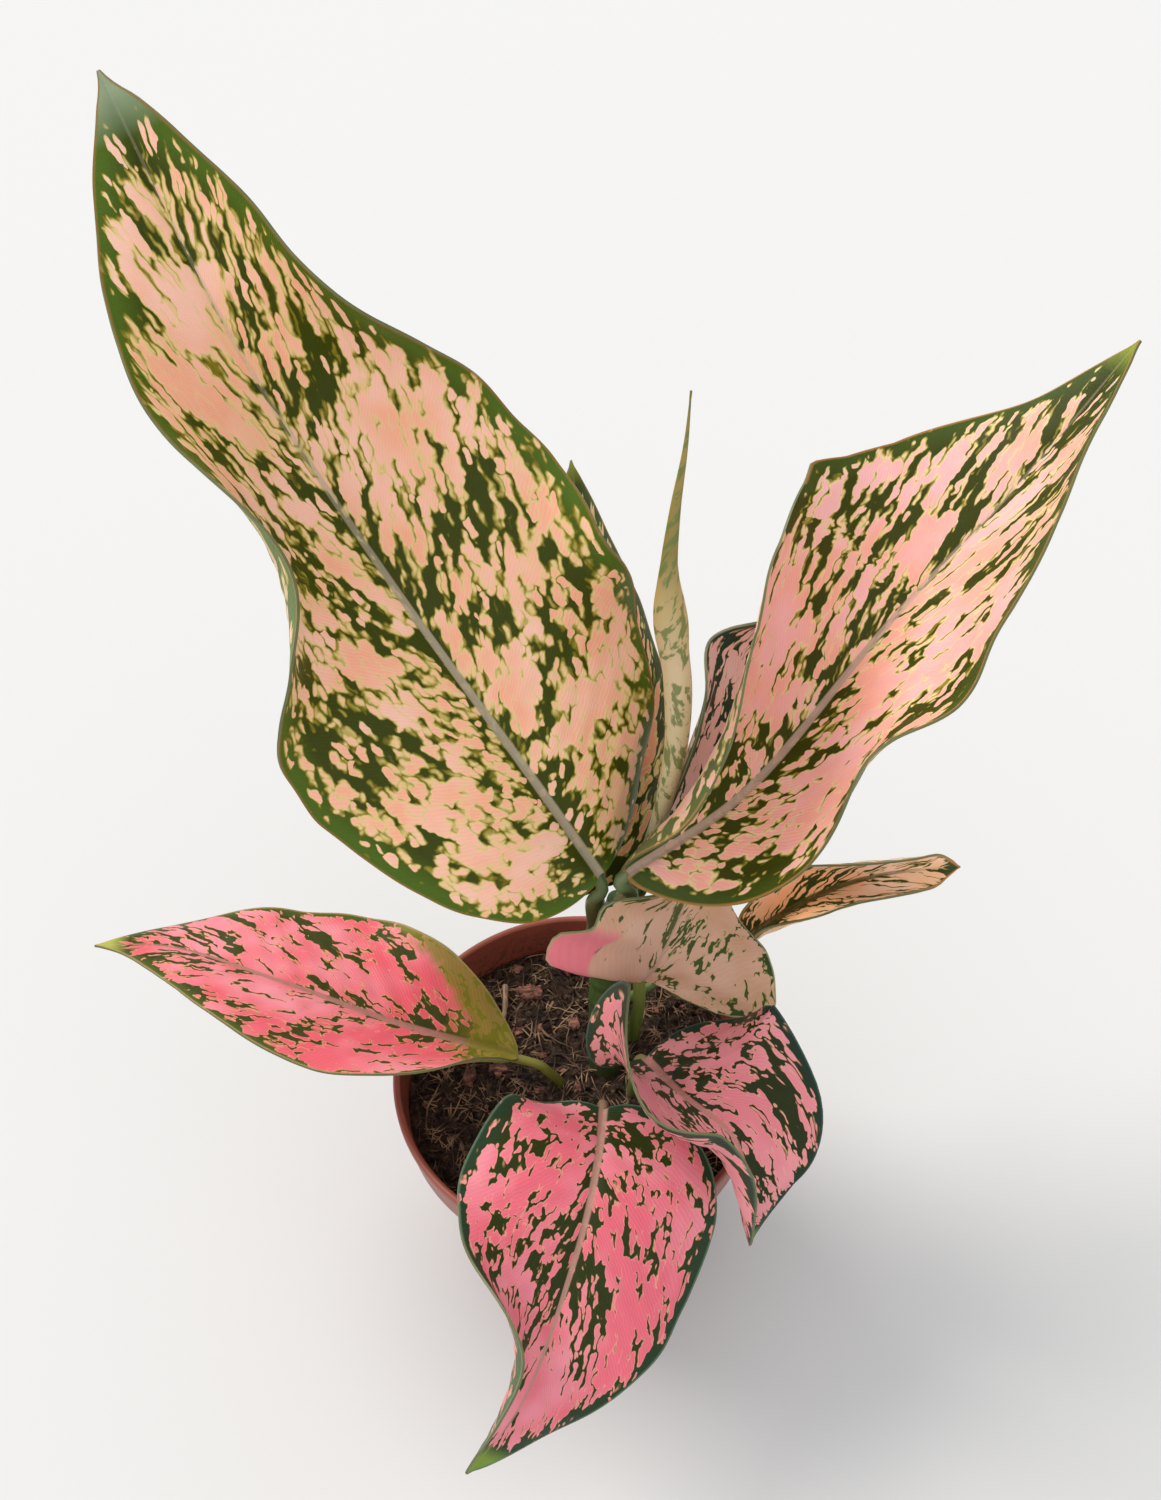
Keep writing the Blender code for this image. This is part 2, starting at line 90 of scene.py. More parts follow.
# on_stem: where the stalk lies against the main stem, as height and direction in degrees,
# stalk: points from there, or from its foot in the soil, to the blade,
# midrib: points from the blade's base to its tip,
# face: the way the upper face looks at the base, twist: turn of the face from base to tip in degrees,
# widest: where the blade is widest, as a share of its length, taper: above 1 draws the tip out,
# lobe: how far the base reaches back past the stalk, left and right: degrees that each half is
# raised at even steps from base to tip, channel: the same close beside the midrib.
LEAVES = {
    "leaf_upper_left": {
        "on_stem": [(102, 190), (114, 205)], "stalk": [(4.6, 10.0, 130)],
        "midrib": [(7, 9, 140), (-8, 12, 172), (-32, 25, 212), (-53, 34, 256), (-70, 50, 298)],
        "face": (0.45, -0.7, 0.5), "twist": -12, "channel": 15,
        "half_width": 39.5, "widest": 0.38, "taper": 1.07, "lobe": 4,
        "left": (5, 1, -6, 13, 43, 61, 35, 14, 0),
        "right": (-14, -2, 2, 32, 16, 19, 47, 35, 11),
    },
    "leaf_upper_right": {
        "on_stem": [(104, -25), (114, -45)], "stalk": [(13.5, 11.7, 130)],
        "midrib": [(12, 8, 142), (38, 15, 161), (66, 32, 191), (91, 46, 215), (113, 60, 238)],
        "face": (-0.27, -0.9, 0.5), "twist": -51, "channel": 15,
        "half_width": 32, "widest": 0.44, "taper": 1.2, "lobe": 4,
        "left": (68, 83, 81, 74, 58, 35, 20, 0, 10),
        "right": (8, 26, 42, 56, 35, 33, 34, 29, 16),
    },
    "leaf_back_left": {
        "on_stem": [(98, 115), (109, 115)], "stalk": [(6.0, 20.6, 119)],
        "midrib": [(7, 15, 128), (7, 27, 151), (6, 42, 180), (3, 58, 215)],
        "face": (0.37, -0.77, 0.4), "twist": 19, "channel": 5,
        "half_width": 23, "widest": 0.33, "taper": 1.05, "lobe": 4,
        "left": (8, 6, 8, 6, 0, -6, -8, -6),
        "right": (-20, -14, -8, -10, -11, -16, -14, -10),
    },
    "leaf_back_right": {
        "on_stem": [(98, 50), (109, 50)], "stalk": [(16.6, 20.0, 122)],
        "midrib": [(20, 18, 134), (37, 34, 153), (50, 48, 164), (67, 65, 177)],
        "face": (-0.1, -0.76, 0.6), "twist": 0, "channel": 12,
        "half_width": 22, "widest": 0.48, "taper": 1.25, "lobe": 1,
        "left": (55, 67, 66, 56, 30, 54, 62, 60),
        "right": (11, 36, 52, 57, 60, 60, 58, 28),
    },
    "leaf_right": {
        "on_stem": [(80, 60)], "stalk": [(16, 19.5, 79), (30, 26.5, 80.8)],
        "midrib": [(41.9, 30.4, 84.4), (60.9, 32.2, 100.7), (77, 31, 110), (97, 37, 104)],
        "face": (0.04, -0.28, 0.98), "twist": 23, "channel": 30,
        "half_width": 12, "widest": 0.4, "taper": 1.13, "lobe": 0,
        "left": (45, 55, 56, 55, 67, 72, 50, 18),
        "right": (40, 70, 71, 65, 63, 52, 41, 22),
    },
    "leaf_mid_right": {
        "stalk": [(13.6, 13.6, 46), (14.2, 13.4, 66), (15.4, 12.4, 82)],
        "midrib": [(16.6, 9.8, 97.7), (20.3, 12, 103), (27, 21.5, 112), (30.6, 29.6, 115),
                   (35.3, 34.6, 118)],
        "face": (0.7, -0.19, 0.61), "twist": 21, "channel": 5,
        "half_width": 35, "widest": 0.26, "taper": 1.03, "lobe": 2.4,
        "left": (-11, -15, -2, -5, 14, 22, 22, 22),
        "right": (27, 34, 29, 28, 31, 31, 26, 19),
    },
    "leaf_low_right": {
        "stalk": [(12.5, -3.0, 46), (13.2, -2.6, 66), (14.6, -2.0, 78)],
        "midrib": [(16, -5, 89), (23.5, -22, 101), (34, -33, 101), (37, -44, 93), (38, -47, 79)],
        "face": (-0.12, 0.14, 1.0), "twist": -13, "channel": 12,
        "half_width": 29, "widest": 0.36, "taper": 1.43, "lobe": 2.6,
        "left": (17, 10, 19, 24, 16, 9, 7, 6),
        "right": (9, 66, 80, 41, 50, 57, 43, 28),
    },
    "leaf_front": {
        "stalk": [(5.0, -8.5, 46), (5.2, -8.5, 62), (5.6, -9.5, 73)],
        "midrib": [(6, -14, 82), (4, -34, 92), (-1, -52.5, 88), (-12, -79, 81), (-25, -91, 70)],
        "face": (0.09, 0.31, 1.0), "twist": -52, "channel": 8,
        "half_width": 29.5, "widest": 0.39, "taper": 1.25, "lobe": 6,
        "left": (-1, 5, 0, -8, -1, 4, -6, 13),
        "right": (-1, 16, 2, 4, 14, 51, 44, 24),
    },
    "leaf_left": {
        "stalk": [(-3.0, 1.0, 46), (-3.6, 0.9, 64), (-7, 0.8, 73)],
        "midrib": [(-14, 1, 81), (-41, 2, 95), (-68, 7, 107), (-93, 14, 112), (-112, 14, 114)],
        "face": (0.35, -0.17, 1.06), "twist": 20, "channel": 15,
        "half_width": 23.5, "widest": 0.42, "taper": 1.2, "lobe": 1.5,
        "left": (48, 52, 30, 16, 11, 10, 2, 14),
        "right": (1, 29, 30, 9, 3, 4, -10, 2),
    },
}
STALK_RADIUS = {
    "leaf_upper_left": (1.7, 1.4), "leaf_upper_right": (1.7, 1.4), "leaf_back_left": (1.6, 1.4),
    "leaf_back_right": (1.6, 1.3), "leaf_right": (1.3, 1.1), "leaf_mid_right": (1.7, 1.5),
    "leaf_low_right": (1.6, 1.4), "leaf_front": (1.6, 1.2), "leaf_left": (1.4, 1.1),
}

# Main stem and the rolled new leaf: points with a radius each
STEM = [(7.0, 5.0, 44, 4.4), (7.0, 6.0, 66, 4.4), (7.1, 10.6, 80, 4.2), (7.6, 14.6, 95, 4.0),
        (9.2, 16.4, 111, 3.4), (10.8, 16.6, 122, 2.9)]
SPEAR = [(11.4, 16.2, 122.7, 2.2), (15.0, 16.4, 132, 2.0), (18.4, 16.5, 145, 2.1),
         (20.6, 15.5, 160, 2.3), (22.2, 15.0, 176, 2.8), (22.0, 15.0, 192, 3.2),
         (20.4, 15.0, 206, 3.0), (19.6, 15.0, 220, 2.5), (20.4, 15.0, 234, 1.6),
         (21.8, 15.0, 247, 0.8), (22.4, 15.0, 258, 0.3)]


def spline(points, u):
    """A smooth curve through evenly spaced points, at each u from 0 to 1."""
    p = np.asarray(points, float)
    p = p[:, None] if p.ndim == 1 else p
    last = len(p) - 1
    p = np.vstack([2 * p[0] - p[1], p, 2 * p[-1] - p[-2]])
    x = np.clip(np.asarray(u, float), 0, 1) * last
    i = np.minimum(x.astype(int), last - 1)
    f = (x - i)[..., None]
    a, b, c, d = p[i], p[i + 1], p[i + 2], p[i + 3]
    return 0.5 * (2 * b + (c - a) * f + (2 * a - 5 * b + 4 * c - d) * f ** 2
                  + (3 * b - a - 3 * c + d) * f ** 3)


def carried_frames(path, normal):
    """Tangent, side and normal along a path, with the normal carried on without turning."""
    tangent = np.gradient(path, axis=0)
    tangent /= np.linalg.norm(tangent, axis=1)[:, None]
    normals = []
    for t in tangent:
        normal = normal - (normal @ t) * t
        normal = normal / np.linalg.norm(normal)
        normals.append(normal)
    normals = np.array(normals)
    return tangent, np.cross(tangent, normals), normals


def midrib_frames(leaf, steps=80):
    """Distance, point, tangent, side and normal along a leaf's midrib, twist included."""
    path = spline(leaf["midrib"], np.linspace(0, 1, steps + 1))
    tangent, side, normal = carried_frames(path, np.array(leaf["face"], float))
    far = np.concatenate([[0], np.cumsum(np.linalg.norm(np.diff(path, axis=0), axis=1))])
    turn = np.radians(leaf["twist"]) * (far / far[-1])[:, None]
    return (far, path, tangent, side * np.cos(turn) - normal * np.sin(turn),
            normal * np.cos(turn) + side * np.sin(turn))


def half_width(leaf, s):
    rise = leaf["taper"] * leaf["widest"] / (1 - leaf["widest"])
    return (leaf["half_width"] * (s / leaf["widest"]) ** rise
            * ((1 - s) / (1 - leaf["widest"])) ** leaf["taper"])


def blade_points(leaf, s, t):
    """Points of the blade's upper face: s runs from base to tip, t from left (-1) to right (1)."""
    far, path, tangent, side, normal = midrib_frames(leaf)
    reach = np.abs(t)
    width = half_width(leaf, s)
    back = leaf["lobe"] * (s / 0.07) * np.exp(1 - s / 0.07) * reach ** 2
    y = far[-1] * s - back
    inside = np.clip(y, 0, far[-1])

    def at(values):
        return np.stack([np.interp(inside, far, values[:, k]) for k in range(3)], -1)

    share = inside / far[-1]
    raised = np.where(t < 0, spline(leaf["left"], share)[..., 0],
                      spline(leaf["right"], share)[..., 0])
    angle = np.radians(leaf["channel"] + (raised - leaf["channel"]) * reach)
    out = np.sign(t) * width * reach * np.cos(angle)
    up = width * reach * np.sin(angle)
    return (at(path) + at(tangent) * (y - inside)[..., None]
            + at(side) * out[..., None] + at(normal) * up[..., None])


def stem_at(height):
    """Centre and radius of the main stem at a height."""
    path = spline(STEM, np.linspace(0, 1, 61))
    return [float(np.interp(height, path[:, 2], path[:, k])) for k in (0, 1, 3)]


def stalk_points(leaf, radius):
    """Points from the stalk's foot to the base of the blade."""
    points = []
    for height, way in leaf.get("on_stem", []):
        x, y, stem_radius = stem_at(height)
        reach = stem_radius + GAP + radius
        points.append((x + reach * math.cos(math.radians(way)),
                       y + reach * math.sin(math.radians(way)), height))
    return points + list(leaf["stalk"]) + [leaf["midrib"][0]]


def stalk_path(leaf, radius, steps_each=2):
    points = stalk_points(leaf, radius)
    steps = steps_each * (len(points) - 1)
    return spline(points + [leaf["midrib"][1]],
                  np.linspace(0, (len(points) - 1) / len(points), steps + 1))


def place_mm(obj, points):
    """Puts a mesh's vertices at points in millimetres."""
    obj.data.vertices.foreach_set("co", (np.asarray(points, float) * MM).ravel())
    obj.data.update()


def vertices_mm(obj):
    flat = np.empty(3 * len(obj.data.vertices))
    obj.data.vertices.foreach_get("co", flat)
    return flat.reshape(-1, 3) / MM


def deselect():
    bpy.ops.object.select_all(action="DESELECT")


def make_active(obj):
    deselect()
    obj.select_set(True)
    bpy.context.view_layer.objects.active = obj
    return obj


def apply_modifiers(obj):
    make_active(obj)
    for modifier in list(obj.modifiers):
        bpy.ops.object.modifier_apply(modifier=modifier.name)
    return obj


def joined(name, pieces):
    """Several mesh objects as one piece."""
    make_active(pieces[0])
    for piece in pieces:
        piece.select_set(True)
    if len(pieces) > 1:
        bpy.ops.object.join()
    made = bpy.context.object
    made.name = name
    made.data.name = name
    return made


def smooth_faces(obj, degrees=50):
    make_active(obj)
    bpy.ops.object.shade_smooth_by_angle(angle=math.radians(degrees))
    return obj


def finish_piece(obj, node, slot, *materials):
    if materials:
        obj.data.materials.clear()
        for material in materials:
            obj.data.materials.append(material)
    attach(obj, "root")
    if node:
        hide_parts(*([node] if isinstance(node, str) else node))
    return obj


def set_attribute(obj, name, kind, values):
    made = obj.data.attributes.new(name, kind, "POINT")
    made.data.foreach_set("vector" if kind == "FLOAT_VECTOR" else "value",
                          np.asarray(values, float).ravel())


def round_rod(name, path, sides=14):
    """A round rod through points with a radius each, both ends closed, as a mesh."""
    curve = bpy.data.curves.new(name, "CURVE")
    curve.dimensions = "3D"
    curve.bevel_depth = MM
    curve.bevel_resolution = (sides - 4) // 2
    curve.use_fill_caps = True
    line = curve.splines.new("POLY")
    line.points.add(len(path) - 1)
    for point, (x, y, z, radius) in zip(line.points, path):
        point.co = (x * MM, y * MM, z * MM, 1.0)
        point.radius = radius
    made = bpy.data.objects.new(name, curve)
    bpy.context.collection.objects.link(made)
    make_active(made)
    bpy.ops.object.convert(target="MESH")
    return bpy.context.object


def linear(colour):
    """A colour written as sRGB hex, as the linear values a shader takes."""
    parts = [int(colour[i:i + 2], 16) / 255 for i in (1, 3, 5)]
    return [p / 12.92 if p <= 0.04045 else ((p + 0.055) / 1.055) ** 2.4 for p in parts] + [1.0]


def add(tree, kind, inputs=None, stops=None, **settings):
    """Adds a shader node. inputs gives each socket a value, a socket, or a node for its first output.

    stops are the places and sRGB colours of a colour ramp.
    """
    made = tree.nodes.new("ShaderNode" + kind)
    for key, value in settings.items():
        setattr(made, key, value)
    for key, value in (inputs or {}).items():
        source = value.outputs[0] if isinstance(value, bpy.types.Node) else value
        if isinstance(source, bpy.types.NodeSocket):
            tree.links.new(source, made.inputs[key])
        else:
            made.inputs[key].default_value = source
    for position, colour in stops or ():
        points = made.color_ramp.elements
        point = points[0] if position == stops[0][0] else points.new(position)
        if position == stops[0][0]:
            points.remove(points[1])
        point.position = position
        point.color = linear(colour)
    return made


def new_material(name, roughness, **shader_values):
    made = bpy.data.materials.new(name)
    made.use_nodes = True
    tree = made.node_tree
    shader = tree.nodes["Principled BSDF"]
    shader.inputs["Roughness"].default_value = roughness
    for key, value in shader_values.items():
        shader.inputs[key.replace("_", " ")].default_value = value
    return made, tree, shader


# How each leaf is coloured. light and deep: the two tints of its blotches, halo: the ring round
# a blotch, olive: the ring outside that, green: between the blotches, margin: along its edge,
# cover: lower lets the blotches cover more, ring: width of the halo, streak and grain: length
# and width of a patch in millimetres, spot: width of the round spots that a patch is made of,
# stretch: how much longer they are, lean: how far forward the side veins lean at the base and
# how much more towards the tip, band: width of the green along the edge in millimetres,
# rib_to: share of the length where the pale midrib fades, rib_loss: how much greener it is beside
# the midrib, thinner: where the blotches begin to thin out, bare: half, and share of the length,
# where the edge is not green, blush: colour of the left base lobe and how far up it reaches,
# base: colour that washes over the base and how far up it reaches, tip: colour of the very tip
# and the share of the length where it starts, under: how much of a dull green the underside has.
LOOKS = {
    "leaf_upper_left": {
        "light": "#F6C6B2", "deep": "#F2B292", "halo": "#DEC884", "olive": "#857A1C",
        "green": "#394203", "margin": "#4A6415", "rib": "#A99C84", "edge": "#8A6A34",
        "cover": -0.095, "ring": 0.2, "streak": 26.0, "grain": 15.0, "spot": 4.2, "stretch": 1.25,
        "lean": (0.45, 2.0), "band": 3.4, "rib_to": 0.55, "tip": ("#9BAA8C", 0.965), "seed": 3.0,
    },
    "leaf_upper_right": {
        "light": "#EFB6B6", "deep": "#EDA996", "halo": "#E3CD92", "olive": "#857A24",
        "green": "#373E06", "margin": "#3E4E16", "rib": "#B59B88", "edge": "#A87A3C",
        "cover": -0.105, "ring": 0.13, "streak": 14.0, "grain": 10.0, "spot": 4.4, "stretch": 1.25,
        "lean": (0.8, 2.0), "band": 2.4, "rib_to": 0.62, "tip": ("#8F9A3A", 0.97), "seed": 11.0,
        "bare": (-1, 0.22, 0.58), "thinner": 0.8,
    },
    "leaf_back_left": {
        "light": "#E8B48C", "deep": "#E2A27A", "halo": "#E3D394", "olive": "#8E8F36",
        "green": "#363C06", "margin": "#3D4E12", "rib": "#9C9272", "edge": "#8F8040",
        "cover": -0.035, "ring": 0.13, "streak": 20.0, "grain": 10.0, "spot": 3.4, "stretch": 2.0,
        "lean": (0.8, 2.0), "band": 2.2, "rib_to": 0.6, "tip": ("#8F9A3A", 0.97), "seed": 21.0,
    },
    "leaf_back_right": {
        # light and deep are lightened nearly to white as painted light, making up for the shade this leaf
        # sits in behind the leaves in front
        "light": "#FFDCD8", "deep": "#FFCFC4", "halo": "#E6C0A4", "olive": "#7F7A4C",
        "green": "#2C4630", "margin": "#2B4638", "rib": "#B59A94", "edge": "#93A08A",
        "cover": -0.1, "ring": 0.05, "streak": 14.0, "grain": 8.0, "spot": 2.8, "stretch": 1.3,
        "lean": (0.7, 1.6), "band": 1.8, "rib_to": 0.6, "tip": ("#7F8F4A", 0.97), "seed": 33.0,
    },
    "leaf_right": {
        "light": "#FFDCC4", "deep": "#FFC494", "halo": "#E3CB94", "olive": "#97843C",
        "green": "#37441A", "margin": "#5C5526", "rib": "#5F5A30", "edge": "#C98A48",
        "cover": -0.13, "ring": 0.08, "streak": 16.0, "grain": 7.0, "spot": 2.2, "stretch": 2.6,
        "lean": (1.4, 1.6), "band": 0.7, "rib_to": 0.7, "tip": ("#3F4A1C", 0.93), "seed": 45.0,
    },
    "leaf_mid_right": {
        "light": "#D2AA92", "deep": "#C99E80", "halo": "#BDA87C", "olive": "#8A7F48",
        "green": "#3F4F1A", "margin": "#33461E", "rib": "#C79F88", "edge": "#A9A47C",
        "cover": -0.16, "ring": 0.07, "streak": 14.0, "grain": 8.0, "spot": 2.4, "stretch": 1.7,
        "lean": (0.9, 1.2), "band": 1.3, "rib_to": 0.6, "tip": ("#5F7A30", 0.97), "seed": 57.0,
        "blush": ("#E0808A", 0.26), "rib_loss": -0.03,
    },
    "leaf_low_right": {
        "light": "#DE929A", "deep": "#D67E88", "halo": "#DDA28C", "olive": "#6F5538",
        "green": "#262E10", "margin": "#1E3226", "rib": "#B98078", "edge": "#3E5A50",
        "cover": -0.12, "ring": 0.07, "streak": 16.0, "grain": 8.0, "spot": 2.7, "stretch": 1.3,
        "lean": (0.7, 1.2), "band": 2.2, "rib_to": 0.8, "tip": ("#6F8A40", 0.95), "seed": 63.0,
        "under": 0.05,
    },
    "leaf_front": {
        "light": "#E28C99", "deep": "#DE6C7C", "halo": "#DD9C86", "olive": "#6A5230",
        "green": "#2B3510", "margin": "#243A24", "rib": "#B58A7C", "edge": "#5A7460",
        "cover": -0.12, "ring": 0.07, "streak": 18.0, "grain": 11.0, "spot": 3.1, "stretch": 1.3,
        "lean": (0.5, 1.6), "band": 2.6, "rib_to": 0.85, "tip": ("#7E9A3C", 0.93), "seed": 75.0,
    },
    "leaf_left": {
        "light": "#E28C96", "deep": "#DC606C", "halo": "#DD9A74", "olive": "#86682E",
        "green": "#3A3E12", "margin": "#48561A", "rib": "#A8776C", "edge": "#A08A5A",
        "cover": -0.145, "ring": 0.07, "streak": 16.0, "grain": 9.0, "spot": 2.6, "stretch": 1.4,
        "lean": (0.6, 1.6), "band": 1.3, "rib_to": 0.9, "tip": ("#B3B552", 0.95), "seed": 87.0,
        "base": ("#7E7A1C", 0.18),
    },
}


def leaf_skin(name, under=False):
    """A variegated leaf: satin wax over patches of merged round spots; paler underneath."""
    look = LOOKS[name]
    length = float(midrib_frames(LEAVES[name])[0][-1])
    face = "underside" if under else "upper face"
    made, tree, shader = new_material(f"variegated leaf, {face}, {name}", 0.42,
                                      Specular_IOR_Level=0.15, Subsurface_Weight=0.3,
                                      Subsurface_Scale=0.001)
    place = add(tree, "Attribute", attribute_name="place").outputs["Vector"]
    across, along, from_edge = add(tree, "SeparateXYZ", {0: place}).outputs
    share = add(tree, "Attribute", attribute_name="share").outputs["Fac"]
    side = add(tree, "Math", {0: across}, operation="ABSOLUTE")
    hand = add(tree, "Math", {0: across}, operation="SIGN")

    # Where the side vein through a point leaves the midrib, and how far out along it the point is
    lean, arch = look["lean"]
    behind = add(tree, "Math", {0: side, 1: -lean, 2: along}, operation="MULTIPLY_ADD")
    drawn = add(tree, "Math", {0: side, 1: arch / length, 2: 1.0}, operation="MULTIPLY_ADD")
    vein = add(tree, "Math", {0: behind, 1: drawn}, operation="DIVIDE")
    longer = add(tree, "Math", {0: share, 1: 0.6, 2: 1.0}, operation="MULTIPLY_ADD")
    reach = add(tree, "Math", {0: side, 1: longer}, operation="MULTIPLY")
    finer = add(tree, "Math", {0: share, 1: 0.45, 2: 1.0}, operation="MULTIPLY_ADD")
    order = add(tree, "Math", {0: vein, 1: finer}, operation="DIVIDE")
    half_seed = add(tree, "Math", {0: hand, 1: 40.0, 2: look["seed"]}, operation="MULTIPLY_ADD")
    spread = add(tree, "CombineXYZ", {0: reach, 1: order, 2: half_seed})
    stir = add(tree, "TexNoise", {"Vector": place, "Scale": 0.3, "Detail": 1.5})
    spread = add(tree, "VectorMath", {0: stir.outputs["Color"], 1: (3.2, 3.2, 0.0), 2: spread},
                 operation="MULTIPLY_ADD")

    # Broad patches, the round spots that they are made of, and finer spots between
    patch = add(tree, "TexNoise", {
        "Vector": add(tree, "VectorMath", {0: spread, 1: (1 / look["streak"], 1 / look["grain"], 1)},
                      operation="MULTIPLY"), "Scale": 1.0, "Detail": 2.0, "Roughness": 0.5})
    amount = add(tree, "Math", {0: patch.outputs["Fac"], 1: 0.55}, operation="MULTIPLY")
    spot, stretch = look["spot"], look["stretch"]
    for size, weight in ((spot, -0.33), (spot * 0.42, -0.33)):
        cells = add(tree, "TexVoronoi", {
            "Vector": add(tree, "VectorMath", {0: spread, 1: (1 / (size * stretch), 1 / size, 1)},
                          operation="MULTIPLY"),
            "Scale": 1.0, "Detail": 0.0, "Smoothness": 0.15}, feature="SMOOTH_F1")
        amount = add(tree, "Math", {0: cells.outputs["Distance"], 1: weight, 2: amount},
                     operation="MULTIPLY_ADD")

    # Single round dots of one or two millimetres stand in the green between them
    dots = add(tree, "TexVoronoi", {
        "Vector": add(tree, "VectorMath", {0: spread, 1: (1 / DOT_SPACING, 1 / DOT_SPACING, 1)},
                      operation="MULTIPLY"), "Scale": 1.0}, voronoi_dimensions="2D")
    chance, size_chance = add(tree, "SeparateXYZ", {0: dots.outputs["Color"]}).outputs[:2]
    dot_size = add(tree, "MapRange", {"Value": size_chance, "To Min": 0.12, "To Max": 0.34})
    within = add(tree, "Math", {0: dot_size, 1: dots.outputs["Distance"]}, operation="SUBTRACT")
    dot = add(tree, "MapRange", {"Value": within, "From Min": -0.1, "From Max": 0.06})
    chosen = add(tree, "Math", {0: chance, 1: look.get("dots", 0.5)}, operation="LESS_THAN")
    dot = add(tree, "Math", {0: dot, 1: chosen}, operation="MULTIPLY")

    # Less of them along the edge, towards the tip and beside the lower midrib
    edge_loss = add(tree, "MapRange", {"Value": from_edge, "From Min": look["band"] * 0.2,
                                       "From Max": look["band"] * 1.5, "To Min": -0.18, "To Max": 0.0})
    tip_loss = add(tree, "MapRange", {"Value": share, "From Min": look.get("thinner", 0.88),
                                      "From Max": 0.98, "To Min": 0.0, "To Max": -0.3})
    rib_loss = add(tree, "MapRange", {"Value": side, "From Min": 0.5, "From Max": 6.0,
                                      "To Min": look.get("rib_loss", -0.12), "To Max": 0.0})
    low_half = add(tree, "MapRange", {"Value": share, "From Min": 0.3, "From Max": 0.65,
                                      "To Min": 1.0, "To Max": 0.1})
    amount = add(tree, "Math", {0: rib_loss, 1: low_half, 2: amount}, operation="MULTIPLY_ADD")
    amount = add(tree, "Math", {0: amount, 1: edge_loss}, operation="ADD")
    amount = add(tree, "Math", {0: amount, 1: tip_loss}, operation="ADD")
    cover, ring = look["cover"], look["ring"]
    off_edge = add(tree, "MapRange", {"Value": from_edge, "From Min": 1.0, "From Max": 2.6})
    dot = add(tree, "Math", {0: dot, 1: off_edge}, operation="MULTIPLY")
    dotted = add(tree, "MapRange", {"Value": dot, "To Min": cover - ring * 0.4,
                                    "To Max": cover + ring * 0.8})
    amount = add(tree, "Math", {0: amount, 1: dotted}, operation="MAXIMUM")

    # Colours: margin green to green, then the rings, then the blotch in its two tints
    clouds = add(tree, "TexNoise", {"Vector": place, "Scale": 0.05, "Detail": 2.0})
    tint = add(tree, "ValToRGB", {0: clouds.outputs["Fac"]},
               stops=[(0.38, look["light"]), (0.6, look["deep"])])
    edge_share = add(tree, "MapRange", {"Value": from_edge, "From Min": look["band"] * 0.6,
                                        "From Max": look["band"] * 2.2, "To Min": 0.0, "To Max": 1.0})
    leafy = add(tree, "ValToRGB", {0: edge_share},
                stops=[(0.0, look["margin"]), (1.0, look["green"])])
    rise = add(tree, "MapRange", {"Value": amount, "From Min": cover - ring * 0.35,
                                  "From Max": cover + ring * 0.65})
    rings = add(tree, "ValToRGB", {0: rise}, stops=[
        (0.0, look["green"]), (0.22, look["olive"]), (0.5, look["halo"]), (1.0, look["light"])])
    inside = add(tree, "MapRange", {"Value": rise, "From Min": 0.5, "From Max": 0.95})
    outside = add(tree, "MapRange", {"Value": rise, "From Min": 0.0, "From Max": 0.12,
                                     "To Min": 1.0, "To Max": 0.0})
    skin = add(tree, "MixRGB", {0: inside, 1: rings, 2: tint})
    skin = add(tree, "MixRGB", {0: outside, 1: skin, 2: leafy})
    if "blush" in look:
        colour, blush_to = look["blush"]
        outward = add(tree, "Math", {0: side, 1: add(tree, "Math", {0: side, 1: from_edge},
                                                     operation="ADD")}, operation="DIVIDE")
        lobe = add(tree, "MapRange", {"Value": outward, "From Min": 0.66, "From Max": 0.7})
        left = add(tree, "Math", {0: across, 1: 0.0}, operation="LESS_THAN")
        low = add(tree, "MapRange", {"Value": share, "From Min": blush_to, "From Max": blush_to + 0.08,
                                     "To Min": 1.0, "To Max": 0.0})
        lobe = add(tree, "Math", {0: lobe, 1: left}, operation="MULTIPLY")
        lobe = add(tree, "Math", {0: lobe, 1: low}, operation="MULTIPLY")
        spots_only = add(tree, "MapRange", {"Value": amount, "From Min": cover - 0.09,
                                            "From Max": cover - 0.06})
        lobe = add(tree, "Math", {0: lobe, 1: spots_only}, operation="MULTIPLY")
        skin = add(tree, "MixRGB", {0: lobe, 1: skin, 2: linear(colour)})

    # The midrib, the thin edge line and the tip have their own colours
    rib_width = add(tree, "MapRange", {"Value": share, "From Max": 0.95, "To Min": 1.15, "To Max": 0.2})
    rib_place = add(tree, "Math", {0: side, 1: rib_width}, operation="DIVIDE")
    rib = add(tree, "MapRange", {"Value": rib_place, "From Min": 0.7, "From Max": 1.1,
                                 "To Min": 0.9, "To Max": 0.0})
    rib_fade = add(tree, "MapRange", {"Value": share, "From Min": look["rib_to"] - 0.15,
                                      "From Max": look["rib_to"] + 0.15, "To Min": 1.0, "To Max": 0.3})
    rib = add(tree, "Math", {0: rib, 1: rib_fade}, operation="MULTIPLY")
    skin = add(tree, "MixRGB", {0: rib, 1: skin, 2: linear(look["rib"])})
    tip_colour, tip_from = look["tip"]
    tip = add(tree, "MapRange", {"Value": share, "From Min": tip_from - 0.03,
                                 "From Max": tip_from + 0.01, "To Min": 0.0, "To Max": 0.85})
    skin = add(tree, "MixRGB", {0: tip, 1: skin, 2: linear(tip_colour)})
    if "base" in look:
        base_colour, base_to = look["base"]
        right = add(tree, "MapRange", {"Value": across, "From Max": 2.0, "To Max": 0.22})
        outer = add(tree, "MapRange", {"Value": from_edge, "From Min": 1.0, "From Max": 9.0,
                                       "To Min": 1.0, "To Max": 0.0})
        spread_out = add(tree, "Math", {0: right, 1: outer}, operation="MULTIPLY")
